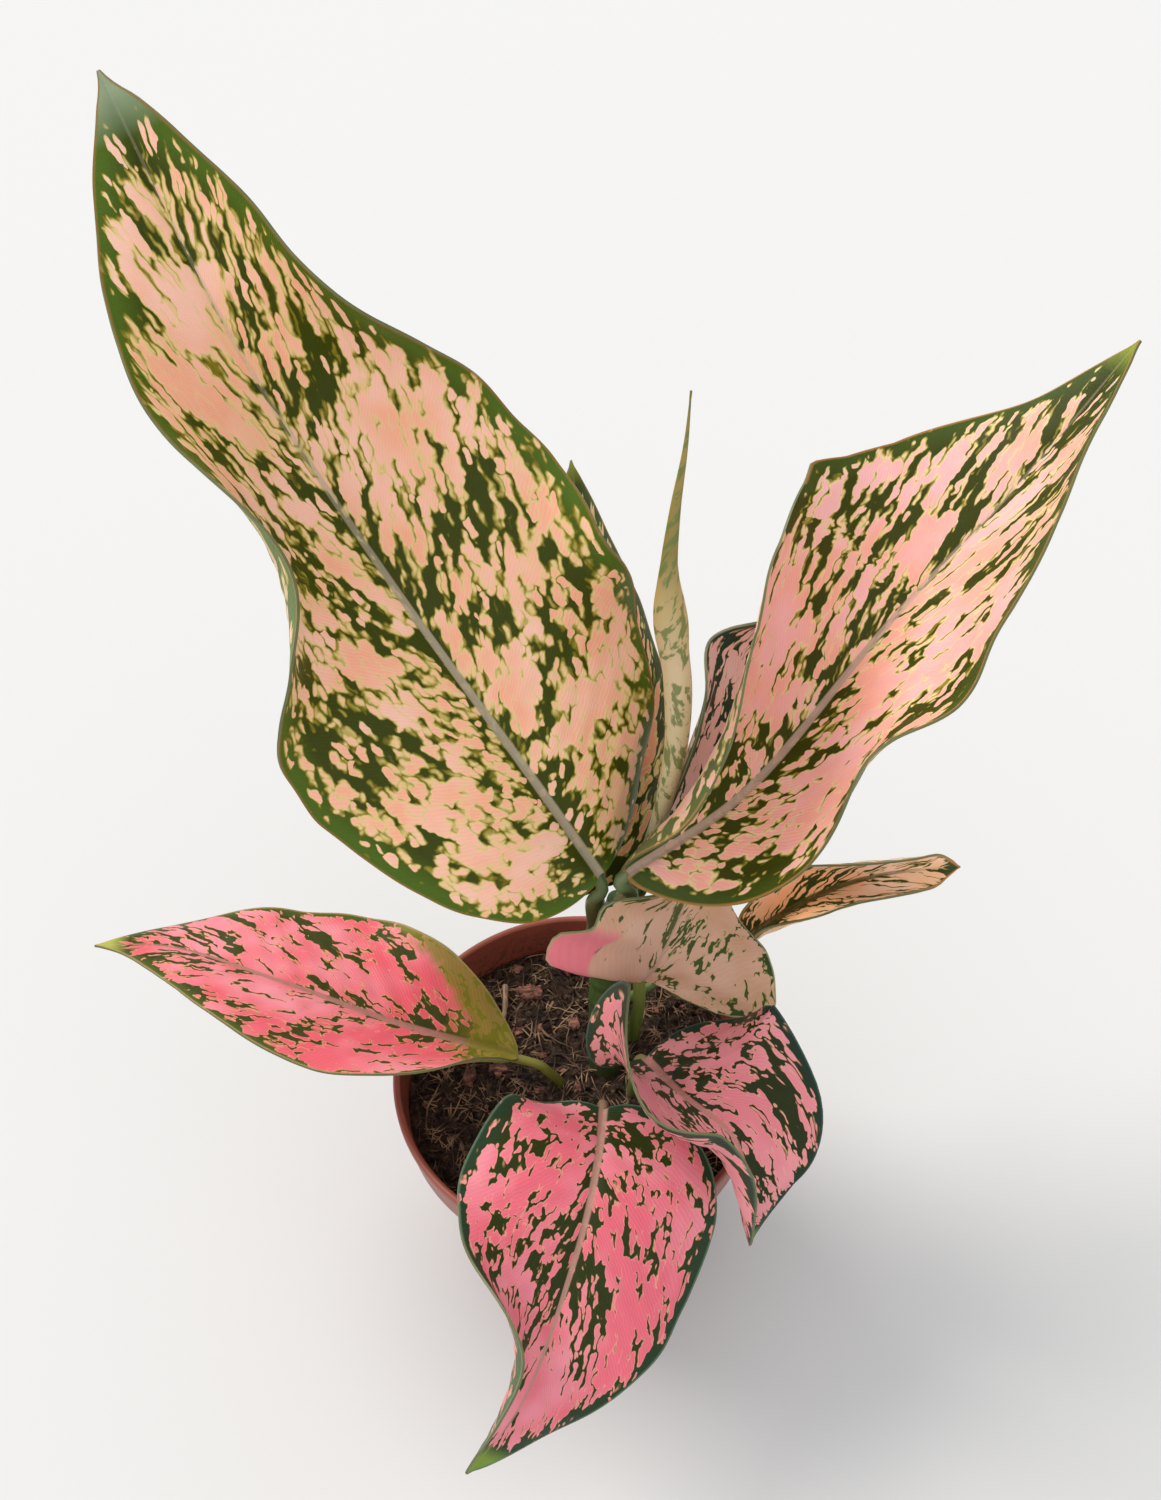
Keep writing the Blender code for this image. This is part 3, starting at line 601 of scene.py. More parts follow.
        mottled = add(tree, "Math", {0: stir.outputs["Fac"], 1: 0.16, 2: share},
                      operation="MULTIPLY_ADD")
        mottled = add(tree, "Math", {0: mottled, 1: spread_out}, operation="SUBTRACT")
        base = add(tree, "MapRange", {"Value": mottled, "From Min": base_to,
                                      "From Max": base_to + 0.1, "To Min": 0.85, "To Max": 0.0})
        skin = add(tree, "MixRGB", {0: base, 1: skin, 2: linear(base_colour)})
    line = add(tree, "MapRange", {"Value": from_edge, "From Min": 0.25, "From Max": 0.6,
                                  "To Min": 0.8, "To Max": 0.0})
    skin = add(tree, "MixRGB", {0: line, 1: skin, 2: linear(look["edge"])})

    # Fine parallel veins 0.8 mm apart show as faint lines and as a slight relief
    wander = add(tree, "TexNoise", {"Vector": place, "Scale": 0.3, "Detail": 1.0})
    phase = add(tree, "Math", {0: vein, 1: 2 * math.pi / 0.8,
                               2: add(tree, "Math", {0: wander.outputs["Fac"], 1: 9.0},
                                      operation="MULTIPLY")}, operation="MULTIPLY_ADD")
    wave = add(tree, "Math", {0: phase}, operation="SINE")
    shade = add(tree, "MapRange", {"Value": wave, "From Min": -1.0, "From Max": 1.0,
                                   "To Min": 0.955, "To Max": 1.0})
    skin = add(tree, "VectorMath", {0: skin, "Scale": shade}, operation="SCALE")
    if under:
        skin = add(tree, "MixRGB", {0: look.get("under", 0.22), 1: skin,
                                    2: linear("#97A078")})
    grain = add(tree, "TexNoise", {"Vector": place, "Scale": 2.5, "Detail": 2.0})
    height = add(tree, "Math", {0: wave, 1: 0.25, 2: grain.outputs["Fac"]}, operation="MULTIPLY_ADD")
    bump = add(tree, "Bump", {"Height": height, "Strength": 0.3, "Distance": 0.0002})
    gloss = add(tree, "MapRange", {"Value": clouds.outputs["Fac"], "From Min": 0.3, "From Max": 0.7,
                                   "To Min": 0.5 if under else 0.36, "To Max": 0.6 if under else 0.46})
    tree.links.new(skin.outputs[0], shader.inputs["Base Color"])
    tree.links.new(gloss.outputs[0], shader.inputs["Roughness"])
    tree.links.new(bump.outputs[0], shader.inputs["Normal"])
    return made


def stalk_skin(name, low, high, top):
    """Smooth green stalk with faint lengthwise streaks, darker at its foot."""
    made, tree, shader = new_material("leaf stalk, " + name, 0.38)
    place = add(tree, "TexCoord").outputs["Object"]
    height = add(tree, "SeparateXYZ", {0: place}).outputs[2]
    streaks = add(tree, "TexNoise", {"Vector": add(tree, "Mapping", {0: place, "Scale": (900, 900, 90)}),
                                     "Scale": 1.0, "Detail": 3.0})
    rise = add(tree, "MapRange", {"Value": height, "From Min": 0.066, "From Max": top})
    mottle = add(tree, "Math", {0: streaks.outputs["Fac"], 1: 0.5, 2: rise}, operation="MULTIPLY_ADD")
    colour = add(tree, "ValToRGB", {0: mottle}, stops=[(0.2, low), (1.0, high)])
    bump = add(tree, "Bump", {"Height": streaks.outputs["Fac"], "Strength": 0.15, "Distance": 0.0002})
    tree.links.new(colour.outputs[0], shader.inputs["Base Color"])
    tree.links.new(bump.outputs[0], shader.inputs["Normal"])
    return made


def shape_blade(name, skins):
    """The blade: a flat grid bent to the leaf's form, grooved along the midrib, then thickened."""
    leaf, look = LEAVES[name], LOOKS[name]
    length = midrib_frames(leaf)[0][-1]
    columns = 2 * round(leaf["half_width"] / STEP_ACROSS / 2) * 2
    rows = round(length / STEP_ALONG)
    deselect()
    bpy.ops.mesh.primitive_grid_add(x_subdivisions=columns, y_subdivisions=rows, size=2)
    sheet = bpy.context.object
    flat = vertices_mm(sheet) * MM
    t = np.sign(flat[:, 0]) * np.abs(flat[:, 0]) ** 1.15
    s = 0.003 + TIP_END * (flat[:, 1] + 1) / 2
    t = t * np.sqrt(np.clip((TIP_END + 0.006 - s) / 0.03, 0, 1))
    for hand, corners in EDGE_CORNERS.get(name, {}).items():
        t = np.where(hand * t > 0, t * np.interp(s, *zip(*corners)), t)
    step = 0.004
    points = blade_points(leaf, s, t)
    over = blade_points(leaf, s, np.clip(t + step, -1, 1)) - blade_points(leaf, s, np.clip(t - step, -1, 1))
    ahead = (blade_points(leaf, np.clip(s + step, 0, 1), t)
             - blade_points(leaf, np.clip(s - step, 0, 1), t))
    normal = np.cross(over, ahead)
    normal /= np.linalg.norm(normal, axis=1)[:, None] + 1e-12
    width = half_width(leaf, s)
    aside = width * np.abs(t)
    along = length * s
    waves = np.array([[noise.noise(Vector((y / 16, x * 0.6, look["seed"]))),
                       noise.noise(Vector((y / 11, x * 0.6, look["seed"] + 5)))]
                      for x, y in zip(t, along)])
    points = points + over / (np.linalg.norm(over, axis=1)[:, None] + 1e-12) * (
        np.sign(t) * waves[:, 1] * EDGE_WOBBLE * np.abs(t) ** 3)[:, None]
    fade = np.clip((1 - s) * 5, 0, 1) * np.clip(s * 12, 0, 1)
    relief = -GROOVE_DEPTH * (1 - 0.7 * s) * np.exp(-(aside / GROOVE_HALF_WIDTH) ** 2)
    vein = along - 0.36 * aside ** 1.25
    relief += waves[:, 0] * EDGE_RUFFLE * np.abs(t) ** 3 * fade
    relief += (VEIN_RELIEF * np.cos(2 * np.pi * vein / VEIN_SPACING) * fade
               * np.clip(aside / 4, 0, 1) * (1 - np.abs(t) ** 4))
    place_mm(sheet, points + normal * relief[:, None])
    bare_hand, bare_from, bare_to = look.get("bare", (1, 2.0, 2.0))
    bare = (bare_hand * t > 0) * np.clip((s - bare_from) / 0.04, 0, 1) * np.clip(
        (bare_to - s) / 0.04, 0, 1)
    reach = np.abs(flat[:, 0]) ** 1.15
    set_attribute(sheet, "place", "FLOAT_VECTOR",
                  np.column_stack([width * t, along, width * (1 - reach) + 12 * bare]))
    set_attribute(sheet, "share", "FLOAT", s)
    for skin in skins:
        sheet.data.materials.append(skin)
    solid = sheet.modifiers.new("thickness", "SOLIDIFY")
    solid.thickness = BLADE_THICK * MM
    solid.offset = -1
    solid.material_offset = 1
    solid.material_offset_rim = 2
    return smooth_faces(apply_modifiers(sheet), 60)


def shape_stalk(name, skins):
    """The stalk, which runs on under the blade as its rib and thins out towards the tip."""
    leaf = LEAVES[name]
    low, high = STALK_RADIUS[name]
    path = stalk_path(leaf, low, 6)
    radius = np.linspace(low, high, len(path))
    far, midrib, _, _, normal = midrib_frames(leaf)
    near = np.clip((np.linspace(0, 1, len(path)) - 0.7) / 0.3, 0, 1)
    path = path - normal[0] * ((high + 0.85) * near ** 2)[:, None]
    share = np.linspace(0.01, 0.86, 40)
    at = share * far[-1]
    points = np.stack([np.interp(at, far, midrib[:, k]) for k in range(3)], -1)
    away = np.stack([np.interp(at, far, normal[:, k]) for k in range(3)], -1)
    rib = high * (1 - share) ** 1.4 + 0.15
    sunk = rib + GROOVE_DEPTH * (1 - 0.7 * share) + 0.15
    points = points - away * sunk[:, None]
    line = np.vstack([np.column_stack([path[:-1], radius[:-1]]), np.column_stack([points, rib])])
    stalk = round_rod(name + " stalk", line, 16)
    for skin in skins:
        stalk.data.materials.append(skin)
    for polygon in stalk.data.polygons:
        polygon.material_index = 3
    return smooth_faces(stalk, 60)


# Colour of each stalk at the soil and at its top, and the height of that top in metres
STALK_COLOURS = {
    "leaf_upper_left": ("#36481F", "#4E5E36", 0.14), "leaf_upper_right": ("#3A4E24", "#62744A", 0.14),
    "leaf_back_left": ("#36481F", "#56683A", 0.14), "leaf_back_right": ("#3A4E24", "#62744A", 0.14),
    "leaf_right": ("#4A6230", "#5E6E38", 0.1), "leaf_mid_right": ("#47601F", "#76823C", 0.1),
    "leaf_low_right": ("#46602A", "#7A7048", 0.09), "leaf_front": ("#384A22", "#8A6A54", 0.084),
    "leaf_left": ("#4C4E1A", "#7E7A30", 0.084),
}


def build_leaves():
    rim, tree, shader = new_material("leaf edge, pale and thin", 0.5)
    speckle = add(tree, "TexNoise", {"Vector": add(tree, "TexCoord").outputs["Object"],
                                     "Scale": 400.0})
    tint = add(tree, "MixRGB", {0: speckle.outputs["Fac"], 1: linear("#6A6838"),
                                2: linear("#4A5630")})
    tree.links.new(tint.outputs[0], shader.inputs["Base Color"])
    for name in LEAVES:
        skins = [leaf_skin(name), leaf_skin(name, under=True), rim,
                 stalk_skin(name, *STALK_COLOURS[name])]
        blade, stalk = shape_blade(name, skins), shape_stalk(name, skins)
        leaf = joined(name + "_grown", [blade, stalk])
        slot = "leaf_pink" if name in PINK_LEAVES else "leaf_peach"
        finish_piece(leaf, name, slot)


PINK_LEAVES = ("leaf_low_right", "leaf_front", "leaf_left")


def build_spear():
    """The new leaf, still rolled up: a sheet wound round itself one and a half times."""
    deselect()
    bpy.ops.mesh.primitive_grid_add(x_subdivisions=60, y_subdivisions=110, size=2)
    sheet = bpy.context.object
    flat = vertices_mm(sheet) * MM
    share = (flat[:, 1] + 1) / 2
    path = spline(SPEAR, share)
    roll = (flat[:, 0] + 1) / 2
    turn = 2 * math.pi * SPEAR_TURNS * roll + 2.2 * share + 2.6
    flap = 0.3 * np.exp(-((share - 0.62) / 0.05) ** 2) - 0.22 * np.clip((share - 0.66) / 0.06, 0, 1)
    radius = (path[:, 3] - 0.15) * (0.62 + 0.38 * roll) * (1 + flap)
    place_mm(sheet, np.column_stack([path[:, 0] + radius * np.cos(turn),
                                     path[:, 1] + radius * np.sin(turn), path[:, 2]]))
    length = SPEAR[-1][2] - SPEAR[0][2]
    set_attribute(sheet, "place", "FLOAT_VECTOR", np.column_stack(
        [turn * path[:, 3], share * length, (1 - roll) * 30]))
    set_attribute(sheet, "share", "FLOAT", share)
    solid = sheet.modifiers.new("thickness", "SOLIDIFY")
    solid.thickness = 0.3 * MM
    solid.offset = -1
    apply_modifiers(sheet)
    foot = round_rod("spear foot", [(*SPEAR[0][:3], 1.5), (*SPEAR[1][:3], 1.3)], 12)
    made, tree, shader = new_material("rolled new leaf, pale underside showing", 0.42)
    place = add(tree, "Attribute", attribute_name="place")
    share_node = add(tree, "Attribute", attribute_name="share").outputs["Fac"]
    mottle = add(tree, "TexNoise", {
        "Vector": add(tree, "Mapping", {0: place.outputs["Vector"], "Scale": (0.42, 0.2, 0.0)}),
        "Scale": 1.0, "Detail": 4.0, "Roughness": 0.6, "Distortion": 0.4})
    rise = add(tree, "ValToRGB", {0: share_node}, stops=[
        (0.0, "#9AA074"), (0.25, "#C2B88E"), (0.55, "#CBB48C"), (0.66, "#B39A64"), (0.74, "#857636"),
        (0.9, "#94803C"), (1.0, "#6E6A28")])
    spots = add(tree, "MapRange", {"Value": mottle.outputs["Fac"], "From Min": 0.52,
                                   "From Max": 0.57, "To Min": 0.0, "To Max": 0.85})
    green = add(tree, "MixRGB", {0: spots, 1: rise, 2: linear("#5E6E30")})
    seam = add(tree, "MapRange", {"Value": add(tree, "SeparateXYZ", {0: place.outputs["Vector"]}).outputs[2],
                                  "From Min": 0.3, "From Max": 2.2, "To Min": 0.8, "To Max": 0.0})
    skin = add(tree, "MixRGB", {0: seam, 1: green, 2: linear("#D9A383")})
    bump = add(tree, "Bump", {"Height": mottle.outputs["Fac"], "Strength": 0.15, "Distance": 0.0002})
    tree.links.new(skin.outputs[0], shader.inputs["Base Color"])
    tree.links.new(bump.outputs[0], shader.inputs["Normal"])
    finish_piece(smooth_faces(joined("new_leaf_rolled", [sheet, foot]), 60), "leaf_spear", "leaf_new",
                 made)


def build_stem():
    """The main stem, ringed by the scars and sheaths of older leaves."""
    steps = 90
    path = spline(STEM, np.linspace(0, 1, steps + 1))
    height = path[:, 2]
    for scar in STEM_SCARS:
        path[:, 3] -= 0.35 * np.exp(-((height - scar) / 0.5) ** 2)
        path[:, 3] += 0.22 * np.exp(-((height - scar - 1.4) / 1.1) ** 2)
    path[:, 3] -= 0.2
    stem = smooth_faces(round_rod("main_stem", path, 28), 60)
    made, tree, shader = new_material("green stem, waxy skin with leaf scars", 0.36)
    place = add(tree, "TexCoord").outputs["Object"]
    streaks = add(tree, "TexNoise", {"Vector": add(tree, "Mapping", {0: place, "Scale": (700, 700, 120)}),
                                     "Scale": 1.0, "Detail": 4.0})
    rise = add(tree, "MapRange", {"Value": add(tree, "SeparateXYZ", {0: place}).outputs[2],
                                  "From Min": 0.066, "From Max": 0.12})
    both = add(tree, "Math", {0: streaks.outputs["Fac"], 1: 0.7, 2: rise}, operation="MULTIPLY_ADD")
    # The greens are darkened as painted shade, for the shadow that the leaves cast on the stem; browner
    # towards the foot
    colour = add(tree, "ValToRGB", {0: both}, stops=[(0.2, "#40351E"), (0.45, "#26381A"),
                                                     (1.0, "#3C5424")])
    bump = add(tree, "Bump", {"Height": streaks.outputs["Fac"], "Strength": 0.25, "Distance": 0.0003})
    tree.links.new(colour.outputs[0], shader.inputs["Base Color"])
    tree.links.new(bump.outputs[0], shader.inputs["Normal"])
    finish_piece(stem, "stem", "stem_green", made)


def inner_radius(z):
    """Radius of the pot's inner wall at a height."""
    ledge = POT_HEIGHT - COLLAR_HEIGHT
    if z >= ledge:
        share = (z - ledge) / COLLAR_HEIGHT
        return COLLAR_FOOT_RADIUS - WALL + share * (RIM_RADIUS - RIM_THICK
                                                    - COLLAR_FOOT_RADIUS + WALL)
    return BASE_RADIUS - WALL + (BODY_TOP_RADIUS - BASE_RADIUS) * z / ledge


def pot_plastic():
    """Moulded polypropylene in terracotta: satin, faintly cloudy, with soil dust inside the rim."""
    made, tree, shader = new_material("moulded polypropylene, terracotta", 0.42)
    place = add(tree, "TexCoord").outputs["Object"]
    clouds = add(tree, "TexNoise", {"Vector": place, "Scale": 70.0, "Detail": 4.0})
    base = add(tree, "ValToRGB", {0: clouds.outputs["Fac"]},
               stops=[(0.3, "#7E3C2D"), (0.7, "#904837")])
    height = add(tree, "SeparateXYZ", {0: place})
    out = add(tree, "Math", {0: add(tree, "Math", {0: height.outputs[0], 1: 2.0}, operation="POWER"),
                             1: add(tree, "Math", {0: height.outputs[1], 1: 2.0},
                                    operation="POWER")}, operation="ADD")
    radius = add(tree, "Math", {0: out, 1: 0.5}, operation="POWER")
    within = add(tree, "Math", {0: radius, 1: 0.0433}, operation="LESS_THAN")
    low = add(tree, "MapRange", {"Value": height.outputs[2], "From Min": 0.066, "From Max": 0.077,
                                 "To Min": 1.0, "To Max": 0.15})
    specks = add(tree, "TexNoise", {"Vector": place, "Scale": 900.0, "Detail": 3.0, "Roughness": 0.7})
    dusty = add(tree, "MapRange", {"Value": specks.outputs["Fac"], "From Min": 0.48, "From Max": 0.6})
    above = add(tree, "Math", {0: height.outputs[2], 1: 0.0652}, operation="GREATER_THAN")
    inner = add(tree, "Math", {0: within, 1: above}, operation="MULTIPLY")
    dust = add(tree, "Math", {0: inner, 1: low}, operation="MULTIPLY")
    dust = add(tree, "Math", {0: dust, 1: dusty}, operation="MULTIPLY")
    skin = add(tree, "MixRGB", {0: dust, 1: base, 2: linear("#3A2A22")})
    gloss = add(tree, "MapRange", {"Value": specks.outputs["Fac"], "To Min": 0.34, "To Max": 0.5})
    bump = add(tree, "Bump", {"Height": specks.outputs["Fac"], "Strength": 0.12, "Distance": 0.0002})
    tree.links.new(skin.outputs[0], shader.inputs["Base Color"])
    tree.links.new(gloss.outputs[0], shader.inputs["Roughness"])
    tree.links.new(bump.outputs[0], shader.inputs["Normal"])
    return made


def build_pot():
    """The thin nursery pot: one disc drawn up ring by ring, over the rim and down to its floor."""
    ledge = POT_HEIGHT - COLLAR_HEIGHT
    top = RIM_RADIUS
    rings = [
        (BASE_RADIUS - 1.2, 0), (BASE_RADIUS + 0.4, 1.6), (BODY_TOP_RADIUS, ledge - 0.3),
        (COLLAR_FOOT_RADIUS - 0.5, ledge), (COLLAR_FOOT_RADIUS, ledge + 0.8),
        (top - 0.5, POT_HEIGHT - 2.9), (top, POT_HEIGHT - 2.2), (top, POT_HEIGHT - 0.5),
        (top - 0.5, POT_HEIGHT), (inner_radius(POT_HEIGHT) + 0.5, POT_HEIGHT),
        (inner_radius(POT_HEIGHT - 0.5), POT_HEIGHT - 0.5),
        (inner_radius(ledge + 0.6), ledge + 0.6), (inner_radius(ledge - 0.6), ledge - 0.6),
        (inner_radius(FLOOR_THICK + 1.0), FLOOR_THICK + 1.0),
        (inner_radius(FLOOR_THICK) - 1.0, FLOOR_THICK),
    ]
    deselect()
    bpy.ops.mesh.primitive_circle_add(vertices=144, radius=rings[0][0] * MM, fill_type="NGON")
    pot = bpy.context.object
    pot.name = "pot_shell"
    bpy.ops.object.mode_set(mode="EDIT")
    bpy.ops.mesh.select_all(action="SELECT")
    for (radius, height), (next_radius, next_height) in zip(rings, rings[1:]):
        bpy.ops.mesh.extrude_region_move(
            TRANSFORM_OT_translate={"value": (0, 0, (next_height - height) * MM)})
        grow = next_radius / radius
        bpy.ops.transform.resize(value=(grow, grow, 1), center_override=(0, 0, 0))
    bpy.ops.mesh.select_all(action="SELECT")
    bpy.ops.mesh.normals_make_consistent(inside=False)
    bpy.ops.object.mode_set(mode="OBJECT")
    edges = pot.modifiers.new("moulded edges", "BEVEL")
    edges.width = 0.22 * MM
    edges.segments = 2
    edges.angle_limit = math.radians(28)
    holes = []
    for i in range(DRAIN_HOLES):
        angle = 2 * math.pi * (i + 0.5) / DRAIN_HOLES
        deselect()
        bpy.ops.mesh.primitive_cylinder_add(
            vertices=32, radius=DRAIN_RADIUS * MM, depth=12 * MM,
            location=(DRAIN_CIRCLE * math.cos(angle) * MM, DRAIN_CIRCLE * math.sin(angle) * MM, 0))
        holes.append(bpy.context.object)
    cutter = joined("drain cutter", holes)
    cut = pot.modifiers.new("drain holes", "BOOLEAN")
    cut.solver = "EXACT"
    cut.object = cutter
    apply_modifiers(pot)
    bpy.data.objects.remove(cutter, do_unlink=True)
    finish_piece(smooth_faces(pot, 35), "pot", "terracotta_plastic", pot_plastic())


def soil_height(x, y):
    """Height of the bumpy top of the soil, a little lower beside the wall."""
    rough = noise.noise(Vector((x * 0.13, y * 0.13, 3.7))) * SOIL_RELIEF
    rough += noise.noise(Vector((x * 0.31, y * 0.31, 9.1))) * SOIL_RELIEF * 0.45
    edge = min(1.0, math.hypot(x, y) / 40) ** 4
    return SOIL_TOP + rough * (1 - 0.6 * edge) - 0.8 * edge


def crumb_height(x, y):
    """Crumbs of one to three millimetres on top of the broad bumps."""
    lumps = noise.fractal(Vector((x * 0.5, y * 0.5, 1.3)), 0.9, 2.1, 4)
    hollows = abs(noise.noise(Vector((x * 0.28, y * 0.28, 6.1))))
    return soil_height(x, y) + (1.0 * lumps - 1.2 * hollows + 0.3) * min(
        1.0, (44 - math.hypot(x, y)) / 4)


def potting_mix():
    """Moist peat and coir: nearly black brown with rusty and tan fibres, dead matte."""
    made, tree, shader = new_material("potting mix, peat and coir", 0.95)
    shader.inputs["Specular IOR Level"].default_value = 0.25
    place = add(tree, "TexCoord").outputs["Object"]
    crumbs = add(tree, "TexNoise", {"Vector": place, "Scale": 520.0, "Detail": 7.0, "Roughness": 0.8})
    patches = add(tree, "TexNoise", {"Vector": place, "Scale": 120.0, "Detail": 3.0})
    dark = add(tree, "ValToRGB", {0: crumbs.outputs["Fac"]}, stops=[
        (0.36, "#0E0906"), (0.47, "#261B14"), (0.57, "#4A382A"), (0.68, "#8A6C52")])
    rusty = add(tree, "MapRange", {"Value": patches.outputs["Fac"], "From Min": 0.45,
                                   "From Max": 0.65, "To Min": 0.0, "To Max": 0.45})
    warm = add(tree, "MixRGB", {0: rusty, 1: dark, 2: linear("#3E2A20")})
    bump = add(tree, "Bump", {"Height": crumbs.outputs["Fac"], "Strength": 0.9, "Distance": 0.0012})
    tree.links.new(warm.outputs[0], shader.inputs["Base Color"])
    tree.links.new(bump.outputs[0], shader.inputs["Normal"])
    return made


def build_soil():
    """The body of potting mix, a fine bumpy top over a plain tapered plug."""
    deselect()
    bpy.ops.mesh.primitive_grid_add(x_subdivisions=150, y_subdivisions=150, size=2)
    soil = bpy.context.object
    soil.name = "potting_mix_bed"
    flat = vertices_mm(soil) * MM
    radius = inner_radius(SOIL_TOP - 1.0) - GAP
    x = flat[:, 0] * np.sqrt(1 - flat[:, 1] ** 2 / 2) * radius
    y = flat[:, 1] * np.sqrt(1 - flat[:, 0] ** 2 / 2) * radius
    z = [crumb_height(a, b) for a, b in zip(x, y)]
    place_mm(soil, np.column_stack([x, y, z]))
    make_active(soil)
    bpy.ops.object.mode_set(mode="EDIT")
    bpy.ops.mesh.select_all(action="SELECT")
    bpy.ops.mesh.region_to_loop()
    foot_scale = (inner_radius(SOIL_BOTTOM) - GAP) / radius
    bpy.ops.mesh.extrude_region_move(
        TRANSFORM_OT_translate={"value": (0, 0, (SOIL_BOTTOM - SOIL_TOP + 1.2) * MM)})
    bpy.ops.transform.resize(value=(foot_scale, foot_scale, 1), center_override=(0, 0, 0))
    bpy.ops.transform.resize(value=(1, 1, 0), center_override=(0, 0, SOIL_BOTTOM * MM))
    bpy.ops.mesh.edge_face_add()
    bpy.ops.mesh.select_all(action="SELECT")
    bpy.ops.mesh.normals_make_consistent(inside=False)
    bpy.ops.object.mode_set(mode="OBJECT")
    finish_piece(smooth_faces(soil, 60), "soil", "potting_mix", potting_mix())


def scattered(rng, reach, clear=()):
    """A random place on the soil, off the places that are kept clear."""
    while True:
        x, y = rng.uniform(-reach, reach), rng.uniform(-reach, reach)
        if math.hypot(x, y) > reach:
            continue
        if all(math.hypot(x - a, y - b) > c for a, b, c in clear):
            return x, y


def build_crumbs():
    """Lumps of peat lying loose on the soil: one lump, copied and turned."""
    rng = random.Random(5)
    deselect()
    bpy.ops.mesh.primitive_ico_sphere_add(subdivisions=2, radius=1)
    first = bpy.context.object
    for vertex in first.data.vertices:
        vertex.co *= 1 + 0.45 * noise.noise(vertex.co * 1.7)
    lumps = []
    for _ in range(CRUMBS):
        x, y = scattered(rng, 40.5, STALK_FEET)
        size = rng.uniform(0.35, 1.15) ** 1.3
        shape = Matrix.Diagonal((size, size * rng.uniform(0.6, 1.0), size * rng.uniform(0.5, 0.8), 1))
        turn = Matrix.Rotation(rng.uniform(0, 6.28), 4, "Z") @ Matrix.Rotation(rng.uniform(-0.6, 0.6), 4, "X")
        lump = bpy.data.objects.new("lump", first.data.copy())
        bpy.context.collection.objects.link(lump)
        at = Matrix.Translation((x, y, crumb_height(x, y) + 0.25 * size))
        lump.data.transform(Matrix.Scale(MM, 4) @ at @ turn @ shape)
        lumps.append(lump)
    bpy.data.objects.remove(first, do_unlink=True)
    finish_piece(smooth_faces(joined("soil_crumbs", lumps), 40), None, "potting_mix",
                 bpy.data.materials["potting mix, peat and coir"])


def build_fibres():
    """Coir fibres: thin curved strands lying in a loose tangle on the soil."""
    rng = random.Random(9)
    curve = bpy.data.curves.new("coir_fibres", "CURVE")
    curve.dimensions = "3D"
    curve.bevel_depth = MM
    curve.bevel_resolution = 0
    for _ in range(FIBRES):
        x, y = scattered(rng, 40, STALK_FEET)
        way = rng.uniform(0, 2 * math.pi)
        bend = rng.gauss(0, 0.16)
        length = rng.uniform(3, 13)
        lift = rng.uniform(0.0, 0.9) ** 2
        radius = rng.uniform(0.09, 0.25)
        points = []
        for k in range(7):
            if math.hypot(x, y) > 41.5:
                break
            hump = lift * math.sin(math.pi * k / 6)
            points.append((x, y, crumb_height(x, y) + 0.12 + hump * 1.6))
            x += length / 6 * math.cos(way)
            y += length / 6 * math.sin(way)
            way += bend + rng.gauss(0, 0.12)
        if len(points) < 3:
            continue
        line = curve.splines.new("POLY")
        line.points.add(len(points) - 1)
        for k, point in enumerate(points):
            line.points[k].co = (*(c * MM for c in point), 1.0)
            line.points[k].radius = radius * (1 - 0.5 * k / len(points))
    fibres = bpy.data.objects.new("coir_fibres", curve)
    bpy.context.collection.objects.link(fibres)
    make_active(fibres)
    bpy.ops.object.convert(target="MESH")
    fibres = bpy.context.object
    made, tree, shader = new_material("coir fibre, dry and tan", 0.85)
    place = add(tree, "TexCoord").outputs["Object"]
    tone = add(tree, "TexNoise", {"Vector": place, "Scale": 160.0, "Detail": 2.0})
    colour = add(tree, "ValToRGB", {0: tone.outputs["Fac"]}, stops=[
        (0.36, "#241812"), (0.5, "#5E4635"), (0.62, "#A08264")])
    tree.links.new(colour.outputs[0], shader.inputs["Base Color"])
    finish_piece(fibres, None, "potting_mix", made)


def bark_material():
    """Pine bark: layered, pinkish brown, rough."""
    made, tree, shader = new_material("pine bark, layered and pinkish brown", 0.88)
    place = add(tree, "TexCoord").outputs["Object"]
    layers = add(tree, "TexNoise", {"Vector": add(tree, "Mapping", {0: place, "Rotation": (0.3, 0.2, 0.5),
                                                                   "Scale": (260, 900, 900)}),
                                    "Scale": 1.0, "Detail": 5.0, "Roughness": 0.65})
    colour = add(tree, "ValToRGB", {0: layers.outputs["Fac"]}, stops=[
        (0.34, "#2E1B15"), (0.47, "#5F3A2E"), (0.6, "#8E5E4E"), (0.74, "#B08270")])
    bump = add(tree, "Bump", {"Height": layers.outputs["Fac"], "Strength": 0.8, "Distance": 0.0006})
    tree.links.new(colour.outputs[0], shader.inputs["Base Color"])
    tree.links.new(bump.outputs[0], shader.inputs["Normal"])
    return made


def worn(u, v, w, seed):
    """A point of a unit block, moved as a worn and split bark chip: ragged outline, stepped layers."""
    ragged = noise.noise(Vector((u * 2.2, v * 2.2, seed * 7.0)))
    chipped = noise.noise(Vector((u * 7, v * 7, w * 3 + seed)))
    layer = round(3 * noise.noise(Vector((u * 3.1, v * 3.1, seed * 3.0 + w)))) / 3
    wide = 0.9 + 0.5 * ragged + 0.14 * chipped - 0.9 * max(0.0, u * u + v * v - 0.16)
    slant = 0.3 * w * noise.noise(Vector((seed, 2.0, 1.0)))
    return (u * wide + slant, v * wide * 0.85 - slant,
            (w + 0.5) * (0.75 + 0.3 * layer + 0.22 * chipped) - 0.5)


